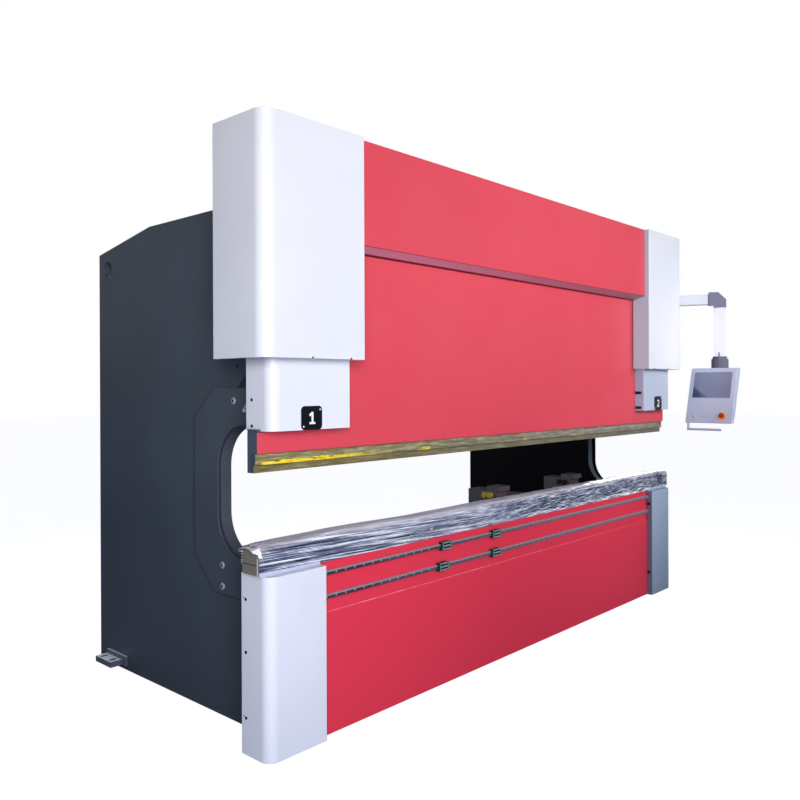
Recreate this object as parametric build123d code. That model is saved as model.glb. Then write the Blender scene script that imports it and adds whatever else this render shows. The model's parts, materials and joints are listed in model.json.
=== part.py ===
from build123d import *
from math import atan2, cos, degrees, hypot, radians, sin
import os

# Hydraulic press brake with a four metre ram.
# Millimetres. X runs along the bend line, Y to the rear, Z up.
# The origin is on the floor, under the middle of the bend line.

# Main sizes, from which the levels and ends of the large pieces follow
RAM_HALF_LENGTH = 2000.0
TABLE_TOP = 797.0
OPEN_HEIGHT = 468.0
RAM_HEIGHT = 1335.0
FRAME_REAR = 1707.0
THROAT_REAR = 490.0
STROKE = 160.0
CUT_OVER = 1.0

# Ram, the moving beam that carries the tool seat
RAM_FRONT = -35.0
RAM_THICK = 68.0
RAM_WIDE_HEIGHT = 135.0
RAM_FOOT_HEIGHT = 435.0
RAM_END_RELIEF = 35.0
RAM_BEHIND_COVER = 20.0
RAM_REAR = RAM_FRONT + RAM_THICK
RAM_BOTTOM = TABLE_TOP + OPEN_HEIGHT
RAM_NARROW_Z = RAM_BOTTOM + RAM_WIDE_HEIGHT
RAM_SHOULDER_Z = RAM_BOTTOM + RAM_FOOT_HEIGHT
RAM_TOP = RAM_BOTTOM + RAM_HEIGHT

# Tool seat, a stepped steel bar let into the front of the ram's lower edge
CLAMP_BELOW_RAM = 39.0
CLAMP_STEP_DROP = 5.0
CLAMP_OVER_RAM = 45.0
CLAMP_UPPER_INSET = 13.0
CLAMP_LOWER_INSET = 26.0
CLAMP_SEAT_DEPTH = 45.0
CLAMP_BOTTOM = RAM_BOTTOM - CLAMP_BELOW_RAM
CLAMP_STEP_Z = RAM_BOTTOM - CLAMP_STEP_DROP
CLAMP_TOP = RAM_BOTTOM + CLAMP_OVER_RAM
CLAMP_REAR = RAM_FRONT + CLAMP_SEAT_DEPTH

# Lower beam, called the table
TABLE_SHORTER = 20.0
TABLE_FRONT = -53.0
TABLE_THICK = 110.0
TABLE_SEAM_DROP = 231.0
TABLE_SEAM_STEP = 5.0
TABLE_HALF_LENGTH = RAM_HALF_LENGTH - TABLE_SHORTER
TABLE_REAR = TABLE_FRONT + TABLE_THICK
TABLE_SEAM_Z = TABLE_TOP - TABLE_SEAM_DROP

# Side frames
FRAME_INSET = 183.0
FRAME_THICK = 60.0
FRAME_REAR_DROP = 229.0
FRAME_SLOPE_LENGTH = 562.0
FRAME_TOP_DROP = 135.0
FRAME_SEAT_Y = 139.0
FRAME_SEAT_RISE = 108.0
NOTCH_Y = 366.0
NOTCH_DROP = 119.0
NOSE_DROP = 140.0
NOSE_FRONT = 120.0
THROAT_BELOW_TABLE = 7.0
THROAT_OVER_RAM = 145.0
THROAT_RADIUS = 200.0
LIFT_HOLE_REAR = 100.0
LIFT_HOLE_DROP = 94.0
LIFT_HOLE_R = 45.0
PIPE_HOLE_FORWARD = 13.0
PIPE_HOLE_DROP = 114.0
PIPE_HOLE_R = 16.0
LUG_Y = 150.0
LUG_WIDTH = 30.0
LUG_HEIGHT = 60.0
LUG_LOW_RISE = 42.0
LUG_HIGH_DROP = 85.0
FRAME_OUTER = RAM_HALF_LENGTH - FRAME_INSET
FRAME_INNER = FRAME_OUTER - FRAME_THICK
FRAME_MID = FRAME_OUTER - FRAME_THICK / 2
FRAME_REAR_TOP = RAM_TOP - FRAME_REAR_DROP
FRAME_SLOPE_Y = FRAME_REAR - FRAME_SLOPE_LENGTH
FRAME_TOP = RAM_TOP - FRAME_TOP_DROP
FRAME_SEAT_Z = RAM_SHOULDER_Z + FRAME_SEAT_RISE
NOTCH_Z = RAM_SHOULDER_Z - NOTCH_DROP
NOSE_TOP = RAM_SHOULDER_Z - NOSE_DROP
THROAT_LOW = TABLE_TOP - THROAT_BELOW_TABLE
THROAT_HIGH = RAM_BOTTOM + THROAT_OVER_RAM
LIFT_HOLE_Y = FRAME_REAR - LIFT_HOLE_REAR
LIFT_HOLE_Z = FRAME_REAR_TOP - LIFT_HOLE_DROP
PIPE_HOLE_Y = NOTCH_Y - PIPE_HOLE_FORWARD
PIPE_HOLE_Z = FRAME_SEAT_Z - PIPE_HOLE_DROP
LUG_LOW_Z = FRAME_SEAT_Z + LUG_LOW_RISE
LUG_HIGH_Z = FRAME_TOP - LUG_HIGH_DROP

# C-shaped measuring plates bolted outside the frames
CPLATE_GAP = 22.0
CPLATE_THICK = 8.0
CPLATE_FRONT = 70.0
CPLATE_BACK_WIDTH = 180.0
CPLATE_CORNER = 8.0
CPLATE_LOWER_ARM = 184.0
CPLATE_UPPER_ARM = 178.0
CPLATE_LOWER_BACK = 21.0
CPLATE_UPPER_BACK = 28.0
CPLATE_THROAT_INSET = 15.0
CPLATE_BOLT_FORWARD = 55.0
CPLATE_BOLT_DROP = 47.0
CPLATE_LOW_BOLT_DROP = 148.0
CPLATE_TOP_BOLT_FORWARD = 149.0
CPLATE_TOP_BOLT_RISE = 120.0
SPACER_R = 20.0
CPLATE_INNER = FRAME_OUTER + CPLATE_GAP
CPLATE_OUTER = CPLATE_INNER + CPLATE_THICK
CPLATE_REAR = THROAT_REAR + CPLATE_BACK_WIDTH
CPLATE_CHAMFER_Y = THROAT_REAR + CPLATE_CORNER
CPLATE_LOW = THROAT_LOW - CPLATE_LOWER_ARM
CPLATE_HIGH = THROAT_HIGH + CPLATE_UPPER_ARM
CPLATE_REAR_LOW = THROAT_LOW - CPLATE_LOWER_BACK
CPLATE_REAR_HIGH = THROAT_HIGH + CPLATE_UPPER_BACK

# Rear feet
FOOT_INSET = 94.0
FOOT_LENGTH = 173.0
FOOT_REACH = 80.0
FOOT_LOW = 24.0
FOOT_HIGH = 55.0
FOOT_FLANGE = 12.0
FOOT_FLANGE_LENGTH = 215.0
FOOT_FLANGE_HIGH = 79.0
FOOT_SLOT_WIDTH = 22.0
FOOT_SLOT_LENGTH = 44.0
FOOT_SLOT_SPACING = 95.0
FOOT_REAR = FRAME_REAR - FOOT_INSET
FOOT_FRONT = FOOT_REAR - FOOT_LENGTH
FOOT_FLANGE_FRONT = FOOT_REAR - FOOT_FLANGE_LENGTH

# Ties between the frames
REAR_TIE_THICK = 20.0
REAR_TIE_INSET = 60.0
REAR_TIE_LOW = 120.0
REAR_TIE_BELOW_TABLE = 275.0
REAR_TIE_LIP = 60.0
UPPER_TIE_BEHIND = 281.0
UPPER_TIE_THICK = 25.0
UPPER_TIE_RISE = 20.0
UPPER_TIE_DROP = 41.0
REAR_TIE_HIGH = TABLE_TOP - REAR_TIE_BELOW_TABLE
UPPER_TIE_Y = FRAME_SEAT_Y + UPPER_TIE_BEHIND
UPPER_TIE_REAR = UPPER_TIE_Y + UPPER_TIE_THICK
UPPER_TIE_LOW = RAM_SHOULDER_Z + UPPER_TIE_RISE
UPPER_TIE_HIGH = FRAME_REAR_TOP - UPPER_TIE_DROP

# Oil tank, with its filler cap, and the motor and pump on its lid
TANK_END_SPACE = 857.0
TANK_REAR_SPACE = 527.0
TANK_HEIGHT = 430.0
TANK_LID = 12.0
TANK_LID_PROUD = 15.0
TANK_LID_SETBACK = 115.0
FILLER_R = 40.0
FILLER_HEIGHT = 70.0
FILLER_INSET = 160.0
MOTOR_INSET = 270.0
MOTOR_R = 112.0
MOTOR_LENGTH = 300.0
MOTOR_FOOT_HEIGHT = 145.0
MOTOR_FOOT_LENGTH = 260.0
MOTOR_FOOT_DEPTH = 60.0
FAN_COVER_R = 118.0
FAN_COVER_LENGTH = 70.0
BELL_R = 88.0
BELL_LENGTH = 95.0
PUMP_R = 58.0
PUMP_LENGTH = 150.0
TERMINAL_BOX = 110.0
TERMINAL_RISE = 55.0
TANK_HALF_LENGTH = FRAME_INNER - TANK_END_SPACE
TANK_REAR = FRAME_REAR - TANK_REAR_SPACE
TANK_HIGH = UPPER_TIE_HIGH
TANK_LOW = TANK_HIGH - TANK_HEIGHT
TANK_TOP = TANK_HIGH + TANK_LID
MOTOR_Y = (UPPER_TIE_REAR + TANK_LID_SETBACK + TANK_REAR) / 2
MOTOR_END = TANK_HALF_LENGTH - MOTOR_INSET

# Cylinders under the upper covers
CYLINDER_WIDTH = 280.0
CYLINDER_BELOW_SEAT = 18.0
CYLINDER_OVER_FRAME = 55.0
CYLINDER_CORNER = 30.0
CYLINDER_CAP_R = 110.0
CYLINDER_CAP_HEIGHT = 88.0
ROD_R = 50.0
ROD_CLEAR = 0.08
ROD_ENGAGED = 200.0
ROD_BORE_SPARE = 50.0
ROD_FLANGE_R = 64.0
ROD_FLANGE_HEIGHT = 35.0
CYLINDER_FRONT = FRAME_SEAT_Y - CYLINDER_WIDTH
CYLINDER_MID_Y = FRAME_SEAT_Y - CYLINDER_WIDTH / 2
CYLINDER_LOW = FRAME_SEAT_Z - CYLINDER_BELOW_SEAT
CYLINDER_HIGH = FRAME_TOP + CYLINDER_OVER_FRAME
ROD_TOP = CYLINDER_LOW + STROKE + ROD_ENGAGED

# Ram guides
GUIDE_RAIL_WIDTH = 50.0
GUIDE_RAIL_DEPTH = 30.0
GUIDE_CLEAR = 0.5
GUIDE_BLOCK_WIDTH = 80.0
GUIDE_BLOCK_GAP = 12.0
GUIDE_BLOCK_RISE = 15.0
GUIDE_ROD_CLEAR = 10.0
GUIDE_BLOCK_LOW = THROAT_HIGH + GUIDE_BLOCK_RISE
GUIDE_BLOCK_HIGH = RAM_SHOULDER_Z - STROKE - GUIDE_ROD_CLEAR

# Sheet covers
SHEET = 3.0
UPPER_COVER_SIDE_SPACE = 248.0
UPPER_COVER_WIDTH = 585.0
UPPER_COVER_FRONT_SPACE = 26.0
UPPER_COVER_LAP = 48.5
UPPER_COVER_RISE = 18.0
UPPER_COVER_OVER_RAM = 146.0
UPPER_COVER_CORNER = 60.0
RETURN_FLANGE = 25.0
PANEL_PROUD = 97.0
PANEL_DEPTH = 344.0
PANEL_CLEAR = 6.0
PANEL_LIP_DROP = 28.0
RAM_COVER_INSET = 20.0
RAM_COVER_WIDTH = 462.0
RAM_COVER_PROUD = 70.0
RAM_COVER_BEHIND = 34.0
RAM_COVER_RISE = 6.0
RAM_COVER_OVER_SHOULDER = 80.0
RAM_COVER_CORNER = 50.0
RAM_UPPER_SLOT_RISE = 133.0
RAM_LOWER_SLOT_RISE = 22.0
TABLE_COVER_OVER = 13.0
TABLE_COVER_WIDTH = 330.0
TABLE_COVER_PROUD = 47.0
TABLE_COVER_BEHIND = 32.0
TABLE_COVER_DROP = 8.0
TABLE_COVER_CORNER = 50.0
TABLE_UPPER_SLOT_DROP = 98.0
TABLE_LOWER_SLOT_Z = 171.0
SMALL_BEND = 6.0
SLOT_HEIGHT = 22.0
RAM_SLOT_DEPTH = 52.0
TABLE_SLOT_DEPTH = 33.0
UPPER_COVER_OUTER = FRAME_OUTER + UPPER_COVER_SIDE_SPACE
UPPER_COVER_FRONT = CYLINDER_FRONT - UPPER_COVER_FRONT_SPACE
UPPER_COVER_REAR = FRAME_SEAT_Y + UPPER_COVER_LAP
UPPER_COVER_LOW = RAM_SHOULDER_Z + UPPER_COVER_RISE
UPPER_COVER_TOP = RAM_TOP + UPPER_COVER_OVER_RAM
PANEL_HALF_LENGTH = UPPER_COVER_OUTER - UPPER_COVER_WIDTH
PANEL_FRONT = RAM_FRONT - PANEL_PROUD
PANEL_LOW = RAM_TOP - PANEL_DEPTH
RAM_COVER_OUTER = RAM_HALF_LENGTH - RAM_COVER_INSET
RAM_UPPER_HALF = RAM_COVER_OUTER - RAM_COVER_WIDTH + RAM_BEHIND_COVER
RAM_COVER_FRONT = RAM_FRONT - RAM_COVER_PROUD
RAM_COVER_REAR = RAM_REAR + RAM_COVER_BEHIND
RAM_COVER_LOW = RAM_NARROW_Z + RAM_COVER_RISE
RAM_COVER_TOP = RAM_SHOULDER_Z + RAM_COVER_OVER_SHOULDER
TABLE_COVER_OUTER = TABLE_HALF_LENGTH + TABLE_COVER_OVER
TABLE_COVER_FRONT = TABLE_FRONT - TABLE_COVER_PROUD
TABLE_COVER_REAR = TABLE_REAR + TABLE_COVER_BEHIND
TABLE_COVER_TOP = TABLE_TOP - TABLE_COVER_DROP

# Number badges on the ram covers
BADGE_INSET = 164.0
BADGE_WIDTH = 120.0
BADGE_HEIGHT = 105.0
BADGE_THICK = 4.0
BADGE_CORNER = 20.0

# Rails and carriages on the table front
RAIL_WIDTH = 20.0
RAIL_HEIGHT = 17.5
RAIL_WAIST = 13.0
RAIL_FOOT = 6.0
RAIL_GROOVE = 9.6
RAIL_HEAD = 13.2
RAIL_END_GAP = 3.0
UPPER_RAIL_DROP = 52.0
LOWER_RAIL_DROP = 160.0
CARRIAGE_LENGTH = 77.5
CARRIAGE_WIDTH = 44.0
CARRIAGE_HEIGHT = 30.0
CARRIAGE_FLOAT = 5.0
CARRIAGE_CLEAR = 0.4
CARRIAGE_CAP = 11.0
CARRIAGE_CAP_STEP = 1.2
CARRIAGE_BOLT_X = 36.0
CARRIAGE_BOLT_Z = 32.0
CARRIAGE_BOLT_R = 2.5
CARRIAGE_BOLT_DEPTH = 8.0
UPPER_LEFT_CARRIAGE_X = -783.0
UPPER_RIGHT_CARRIAGE_X = -327.0
LOWER_LEFT_CARRIAGE_X = -806.0
LOWER_RIGHT_CARRIAGE_X = -330.0
UPPER_RAIL_Z = TABLE_TOP - UPPER_RAIL_DROP
LOWER_RAIL_Z = TABLE_TOP - LOWER_RAIL_DROP
RAIL_HALF_LENGTH = TABLE_COVER_OUTER - TABLE_COVER_WIDTH - RAIL_END_GAP

# Crowning base, die and stretch film on the table
BASE_LEFT_OVER = 18.0
BASE_RIGHT_OVER = 10.0
BASE_HALF_WIDTH = 48.0
BASE_HEIGHT = 83.0
BASE_LAYER = 41.0
BASE_SLIT = 4.0
CLAMP_PLATE_THICK = 7.0
DIE_HALF_WIDTH = 34.0
DIE_HEIGHT = 37.0
DIE_V_WIDTH = 24.0
FILM_THICK = 6.0
FILM_CLEAR = 0.5
FILM_SHIFT = 15.0
FILM_CORNER = 22.0
BASE_LEFT = -RAM_HALF_LENGTH - BASE_LEFT_OVER
BASE_RIGHT = RAM_HALF_LENGTH + BASE_RIGHT_OVER
BASE_TOP = TABLE_TOP + BASE_HEIGHT
DIE_TOP = BASE_TOP + DIE_HEIGHT

# Back gauge
GAUGE_TRAVEL_FORWARD = 60.0
GAUGE_TRAVEL_BACK = 640.0
GAUGE_BEHIND_THROAT = 150.0
GAUGE_BEAM_DEPTH = 110.0
GAUGE_BEAM_HEIGHT = 120.0
GAUGE_BEAM_GAP = 8.0
GAUGE_BEAM_SLOT = 10.0
GAUGE_BELOW_THROAT = 60.0
GAUGE_SHOE_FRONT = 45.0
GAUGE_SHOE_REAR = 135.0
GAUGE_FRONT_SPARE = 15.0
GAUGE_REAR_SPARE = 145.0
GAUGE_UNIT_WIDTH = 88.0
GAUGE_UNIT_HEIGHT = 82.0
GAUGE_STRIP_WIDTH = 25.0
GAUGE_STRIP_HEIGHT = 18.0
FINGER_WIDTH = 130.0
FINGER_SADDLE = 40.0
FINGER_RISE = 156.0
FINGER_REACH = 160.0
FINGER_LIP = 34.0
FINGER_STEP = 26.0
FINGER_HEAD = 110.0
FINGER_ARM_DROP = 30.0
LEFT_FINGER_X = 552.0
RIGHT_FINGER_INSET = 197.0
KNOB_R = 20.0
KNOB_LENGTH = 25.0
KNOB_DROP = 62.0
KNOB_FORWARD = 72.0
KNOB_SPACING = 43.0
GAUGE_BEAM_Y = THROAT_REAR + GAUGE_BEHIND_THROAT
GAUGE_BEAM_HIGH = THROAT_LOW - GAUGE_BELOW_THROAT
GAUGE_BEAM_LOW = GAUGE_BEAM_HIGH - GAUGE_BEAM_HEIGHT
GAUGE_SHOE_LOW = GAUGE_BEAM_HIGH - GAUGE_BEAM_HEIGHT / 2
GAUGE_RAIL_HIGH = GAUGE_SHOE_LOW - GUIDE_CLEAR
GAUGE_RAIL_LOW = GAUGE_RAIL_HIGH - GAUGE_STRIP_HEIGHT - GAUGE_UNIT_HEIGHT
GAUGE_RAIL_FRONT = GAUGE_BEAM_Y - GAUGE_SHOE_FRONT - GAUGE_TRAVEL_FORWARD - GAUGE_FRONT_SPARE
GAUGE_RAIL_REAR = GAUGE_BEAM_Y + GAUGE_SHOE_REAR + GAUGE_TRAVEL_BACK + GAUGE_REAR_SPARE
GAUGE_BEAM_HALF = FRAME_INNER - GAUGE_UNIT_WIDTH - GAUGE_BEAM_GAP
RIGHT_FINGER_X = FRAME_INNER - RIGHT_FINGER_INSET

# Swinging arm with the control box
PIVOT_OUT = 283.0
PIVOT_BEHIND = 131.0
PIVOT_PIN_R = 25.0
PIVOT_BOSS_R = 55.0
DROP_OUT = 255.0
DROP_FORWARD = 625.0
TUBE = 80.0
ARM_BELOW_RAM_TOP = 357.0
BRACKET_PLATE = 20.0
BRACKET_CLEAR = 1.0
ELBOW_WALL = 7.0
ELBOW_SOCKET = 38.0
ELBOW_CHAMFER = 60.0
ELBOW_SKIRT = 21.0
ELBOW_CROWN = 15.0
DROP_LENGTH = 419.0
COLLAR_R = 62.0
COLLAR_CAP_R = 54.0
COLLAR_CAP_HEIGHT = 18.0
COLLAR_RIB_R = 67.0
COLLAR_RIBS = 4
COLLAR_HEIGHT = 94.0
COLLAR_CLEAR = 0.3
LEVER_R = 5.0
LEVER_RISE = 32.0
LEVER_ANGLE = 192.0
BOX_YAW = 3.4
BOX_TILT = 20.0
BOX_WIDTH = 356.0
BOX_FACE = 461.0
BOX_TOP_DEPTH = 88.0
BOX_LOW_DEPTH = 66.0
BOX_CORNER = 5.0
BOX_FORWARD = 78.0
BOX_SHIFT = 20.0
NECK_WIDTH = 200.0
NECK_HEIGHT = 140.0
SCREEN_WIDTH = 290.0
SCREEN_HEIGHT = 215.0
SCREEN_TOP_MARGIN = 35.0
SCREEN_THICK = 4.0
SCREEN_SUNK = 2.0
BUTTON_UP = 59.0
STOP_OFFSET = 101.0
STOP_R = 20.0
STOP_COLLAR_R = 30.0
STOP_COLLAR_THICK = 6.0
STOP_HEAD = 14.0
STOP_STEM_R = 11.0
STEM_DEPTH = 8.0
STOP_TRAVEL = 4.0
START_OFFSET = -115.0
START_R = 11.0
START_HEAD = 5.0
START_STEM_R = 5.0
START_TRAVEL = 3.0
BUTTON_CLEAR = 0.3
HANDLE_R = 9.0
HANDLE_DROP = 50.0
HANDLE_LENGTH = 260.0
HANDLE_INSET = 20.0
PIVOT_X = FRAME_OUTER + PIVOT_OUT
PIVOT_Y = FRAME_SEAT_Y + PIVOT_BEHIND
DROP_X = PIVOT_X + DROP_OUT
DROP_Y = PIVOT_Y - DROP_FORWARD
ARM_LOW = RAM_TOP - ARM_BELOW_RAM_TOP
DROP_LOW = ARM_LOW - DROP_LENGTH
BOX_TOP = DROP_LOW - COLLAR_HEIGHT
ARM_LENGTH = hypot(DROP_X - PIVOT_X, DROP_Y - PIVOT_Y)
ARM_ANGLE = degrees(atan2(DROP_Y - PIVOT_Y, DROP_X - PIVOT_X))

# Electric cabinet on the right frame
CABINET_DEPTH = 380.0
CABINET_BEHIND_CPLATE = 150.0
CABINET_REAR_SPACE = 227.0
CABINET_LOW = 560.0
CABINET_OVER_SHOULDER = 160.0
CABINET_DOOR_THICK = 22.0
CABINET_DOOR_INSET = 15.0
CABINET_CORNER = 8.0
CABINET_ROOF = 16.0
CABINET_ROOF_PROUD = 12.0
CABINET_FRONT = CPLATE_REAR + CABINET_BEHIND_CPLATE
CABINET_REAR = FRAME_REAR - CABINET_REAR_SPACE
CABINET_HIGH = RAM_SHOULDER_Z + CABINET_OVER_SHOULDER

MIN_CORNER = (Align.MIN, Align.MIN, Align.MIN)
ON_FLOOR = (Align.CENTER, Align.CENTER, Align.MIN)


def block(x0, x1, y0, y1, z0, z1):
    """Straight-sided block between two opposite corners."""
    return Pos(x0, y0, z0) * Box(x1 - x0, y1 - y0, z1 - z0, align=MIN_CORNER)


def from_side(points, x0, x1):
    """Plate seen from the side: a (y, z) outline carried from x0 to x1."""
    face = make_face(Polyline(*points, close=True))
    return extrude(Plane.YZ.offset(x0) * face, amount=x1 - x0)


def upright(x, y, z0, z1, radius):
    """Round bar standing on z0."""
    return Pos(x, y, z0) * Cylinder(radius, z1 - z0, align=ON_FLOOR)


def across(x0, x1, y, z, radius):
    """Round bar or hole running along X."""
    bar = Cylinder(radius, x1 - x0, align=ON_FLOOR)
    return Pos(x0, y, z) * (Rot(0, 90, 0) * bar)


def mirrored(solid):
    """The same piece on the right side of the machine."""
    return mirror(solid, about=Plane.YZ)


def throat_cutter(x0, x1, inset):
    """Throat of a frame or measuring plate, open to the front."""
    rear = THROAT_REAR - inset
    low = THROAT_LOW - inset / 3
    high = THROAT_HIGH + inset / 3
    reach = rear + RAM_HALF_LENGTH / 2
    window = RectangleRounded(reach, high - low, THROAT_RADIUS)
    face = Plane.YZ.offset(x0) * (Pos(rear - reach / 2, (low + high) / 2) * window)
    return extrude(face, amount=x1 - x0)


def round_front(face, outer_radius, inner_radius):
    """Rounds the two front corners of a cover's plan."""
    corners = face.vertices().sort_by(Axis.Y)[:2].sort_by(Axis.X)
    face = fillet([corners[0]], outer_radius)
    corners = face.vertices().sort_by(Axis.X)[-2:].sort_by(Axis.Y)
    return fillet([corners[0]], inner_radius)


def cover_shell(outer, width, front, rear, inner_rear, low, high, corner):
    """Left-hand sheet cover, open at the rear and below, closed on top."""
    inner = -outer + width
    outside = make_face(Polyline((-outer, front), (inner, front), (inner, rear), (-outer, rear),
                                 close=True))
    outside = round_front(outside, corner, SMALL_BEND)
    hollow = make_face(Polyline((-outer + SHEET, front + SHEET), (inner - SHEET, front + SHEET),
                                (inner - SHEET, rear + SHEET), (-outer + SHEET, rear + SHEET),
                                close=True))
    hollow = round_front(hollow, corner - SHEET, SMALL_BEND - SHEET)
    shell = extrude(Pos(0, 0, low) * outside, amount=high - low)
    shell -= extrude(Pos(0, 0, low) * hollow, amount=high - low - SHEET)
    shell -= block(inner - SHEET, inner, inner_rear, rear, low, high - SHEET)
    return shell


def key_slot(inner, rear, level, depth):
    """Cutter for a slot in a cover's inner wall, open to its rear edge and round in front."""
    radius = SLOT_HEIGHT / 2
    front = rear - depth + radius
    slot = block(inner - SHEET, inner, front, rear, level - radius, level + radius)
    return slot + across(inner - SHEET, inner, front, level, radius)


def side_frame():
    """Left side frame, a thick plate with a throat, a lifting eye and cover lugs."""
    outline = [
        (TABLE_REAR, 0), (FRAME_REAR, 0), (FRAME_REAR, FRAME_REAR_TOP), (FRAME_SLOPE_Y, FRAME_TOP),
        (FRAME_SEAT_Y, FRAME_TOP), (FRAME_SEAT_Y, FRAME_SEAT_Z), (NOTCH_Y, NOTCH_Z),
        (NOTCH_Y, NOSE_TOP), (NOSE_FRONT, NOSE_TOP), (NOSE_FRONT, RAM_BOTTOM),
        (TABLE_REAR, RAM_BOTTOM),
    ]
    plate = from_side(outline, -FRAME_OUTER, -FRAME_INNER)
    x0 = -FRAME_OUTER - CUT_OVER
    x1 = -FRAME_INNER + CUT_OVER
    plate -= throat_cutter(x0, x1, 0)
    plate -= across(x0, x1, LIFT_HOLE_Y, LIFT_HOLE_Z, LIFT_HOLE_R)
    plate -= across(x0, x1, PIPE_HOLE_Y, PIPE_HOLE_Z, PIPE_HOLE_R)
    for level in (LUG_LOW_Z, LUG_HIGH_Z):
        plate += block(-UPPER_COVER_OUTER + SHEET, -FRAME_OUTER, LUG_Y, LUG_Y + LUG_WIDTH,
                       level, level + LUG_HEIGHT)
    return plate


def throat_plate():
    """Left C-shaped measuring plate on its spacers."""
    outline = [
        (CPLATE_FRONT, CPLATE_LOW), (CPLATE_CHAMFER_Y, CPLATE_LOW), (CPLATE_REAR, CPLATE_REAR_LOW),
        (CPLATE_REAR, CPLATE_REAR_HIGH), (CPLATE_CHAMFER_Y, CPLATE_HIGH), (CPLATE_FRONT, CPLATE_HIGH),
    ]
    plate = from_side(outline, -CPLATE_OUTER, -CPLATE_INNER)
    plate -= throat_cutter(-CPLATE_OUTER - CUT_OVER, -CPLATE_INNER + CUT_OVER, CPLATE_THROAT_INSET)
    bolts = [
        (THROAT_REAR - CPLATE_BOLT_FORWARD, THROAT_LOW - CPLATE_BOLT_DROP),
        (THROAT_REAR - CPLATE_BOLT_FORWARD, THROAT_LOW - CPLATE_LOW_BOLT_DROP),
        (THROAT_REAR - CPLATE_TOP_BOLT_FORWARD, THROAT_HIGH + CPLATE_TOP_BOLT_RISE),
    ]
    for y, z in bolts:
        plate += across(-CPLATE_INNER, -FRAME_OUTER, y, z, SPACER_R)
    return plate


def rear_foot():
    """Left rear foot, an angle on the frame with two slots for the anchor bolts."""
    foot = block(-FRAME_OUTER - FOOT_REACH, -FRAME_OUTER, FOOT_FRONT, FOOT_REAR, FOOT_LOW, FOOT_HIGH)
    foot += block(-FRAME_OUTER - FOOT_FLANGE, -FRAME_OUTER, FOOT_FLANGE_FRONT, FOOT_REAR, FOOT_LOW,
                  FOOT_FLANGE_HIGH)
    slot_x = -FRAME_OUTER - (FOOT_REACH + FOOT_FLANGE) / 2
    slot = SlotOverall(FOOT_SLOT_LENGTH, FOOT_SLOT_WIDTH)
    for side in (-1, 1):
        slot_y = (FOOT_FRONT + FOOT_REAR + side * FOOT_SLOT_SPACING) / 2
        foot -= extrude(Pos(slot_x, slot_y, FOOT_LOW) * slot, amount=FOOT_HIGH - FOOT_LOW)
    return foot


def table_beam():
    """Lower beam, a plate on the floor with a step along its seam."""
    outline = [
        (TABLE_FRONT, TABLE_SEAM_Z), (TABLE_FRONT, TABLE_TOP), (TABLE_REAR, TABLE_TOP),
        (TABLE_REAR, 0), (TABLE_FRONT - TABLE_SEAM_STEP, 0),
        (TABLE_FRONT - TABLE_SEAM_STEP, TABLE_SEAM_Z - TABLE_SEAM_STEP),
    ]
    return from_side(outline, -TABLE_HALF_LENGTH, TABLE_HALF_LENGTH)


def table_cover():
    """Left cover over the end of the table."""
    cover = cover_shell(TABLE_COVER_OUTER, TABLE_COVER_WIDTH, TABLE_COVER_FRONT, TABLE_COVER_REAR,
                        TABLE_FRONT - TABLE_SEAM_STEP, 0, TABLE_COVER_TOP, TABLE_COVER_CORNER)
    inner = -TABLE_COVER_OUTER + TABLE_COVER_WIDTH
    cover -= block(-TABLE_HALF_LENGTH, inner, TABLE_FRONT, TABLE_COVER_REAR,
                   TABLE_COVER_TOP - SHEET, TABLE_COVER_TOP)
    for level in (TABLE_COVER_TOP - TABLE_UPPER_SLOT_DROP, TABLE_LOWER_SLOT_Z):
        cover -= key_slot(inner, TABLE_FRONT, level, TABLE_SLOT_DEPTH)
    return cover


def ram_cover():
    """Left cover over the end of the ram, open on top for the piston rod."""
    cover = cover_shell(RAM_COVER_OUTER, RAM_COVER_WIDTH, RAM_COVER_FRONT, RAM_COVER_REAR,
                        RAM_FRONT, RAM_COVER_LOW, RAM_COVER_TOP, RAM_COVER_CORNER)
    inner = -RAM_COVER_OUTER + RAM_COVER_WIDTH
    cover -= block(-RAM_COVER_OUTER + SHEET, inner - SHEET, RAM_COVER_FRONT + SHEET,
                   RAM_COVER_REAR, RAM_COVER_TOP - SHEET, RAM_COVER_TOP)
    cover -= block(inner - SHEET, inner, RAM_FRONT, RAM_COVER_REAR, RAM_COVER_TOP - SHEET,
                   RAM_COVER_TOP)
    for rise in (RAM_UPPER_SLOT_RISE, RAM_LOWER_SLOT_RISE):
        cover -= key_slot(inner, RAM_FRONT, RAM_COVER_LOW + rise, RAM_SLOT_DEPTH)
    return cover


def cylinder_cover():
    """Left upper cover, with a return flange down its rear edge."""
    cover = cover_shell(UPPER_COVER_OUTER, UPPER_COVER_WIDTH, UPPER_COVER_FRONT, UPPER_COVER_REAR,
                        RAM_FRONT - PANEL_CLEAR, UPPER_COVER_LOW, UPPER_COVER_TOP,
                        UPPER_COVER_CORNER)
    cover += block(-UPPER_COVER_OUTER + SHEET, -UPPER_COVER_OUTER + SHEET + RETURN_FLANGE,
                   UPPER_COVER_REAR - SHEET, UPPER_COVER_REAR, UPPER_COVER_LOW,
                   UPPER_COVER_TOP - SHEET)
    return cover


def upper_front_panel():
    """Folded sheet between the upper covers, with a sloping lip below and a return on top."""
    rear = RAM_FRONT - PANEL_CLEAR
    lip = PANEL_LOW - PANEL_LIP_DROP
    outline = [
        (PANEL_FRONT, PANEL_LOW), (rear, lip), (rear, lip + SHEET),
        (PANEL_FRONT + SHEET, PANEL_LOW + SHEET), (PANEL_FRONT + SHEET, UPPER_COVER_TOP - SHEET),
        (UPPER_COVER_REAR, UPPER_COVER_TOP - SHEET), (UPPER_COVER_REAR, UPPER_COVER_TOP),
        (PANEL_FRONT, UPPER_COVER_TOP),
    ]
    return from_side(outline, -PANEL_HALF_LENGTH, PANEL_HALF_LENGTH)


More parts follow.
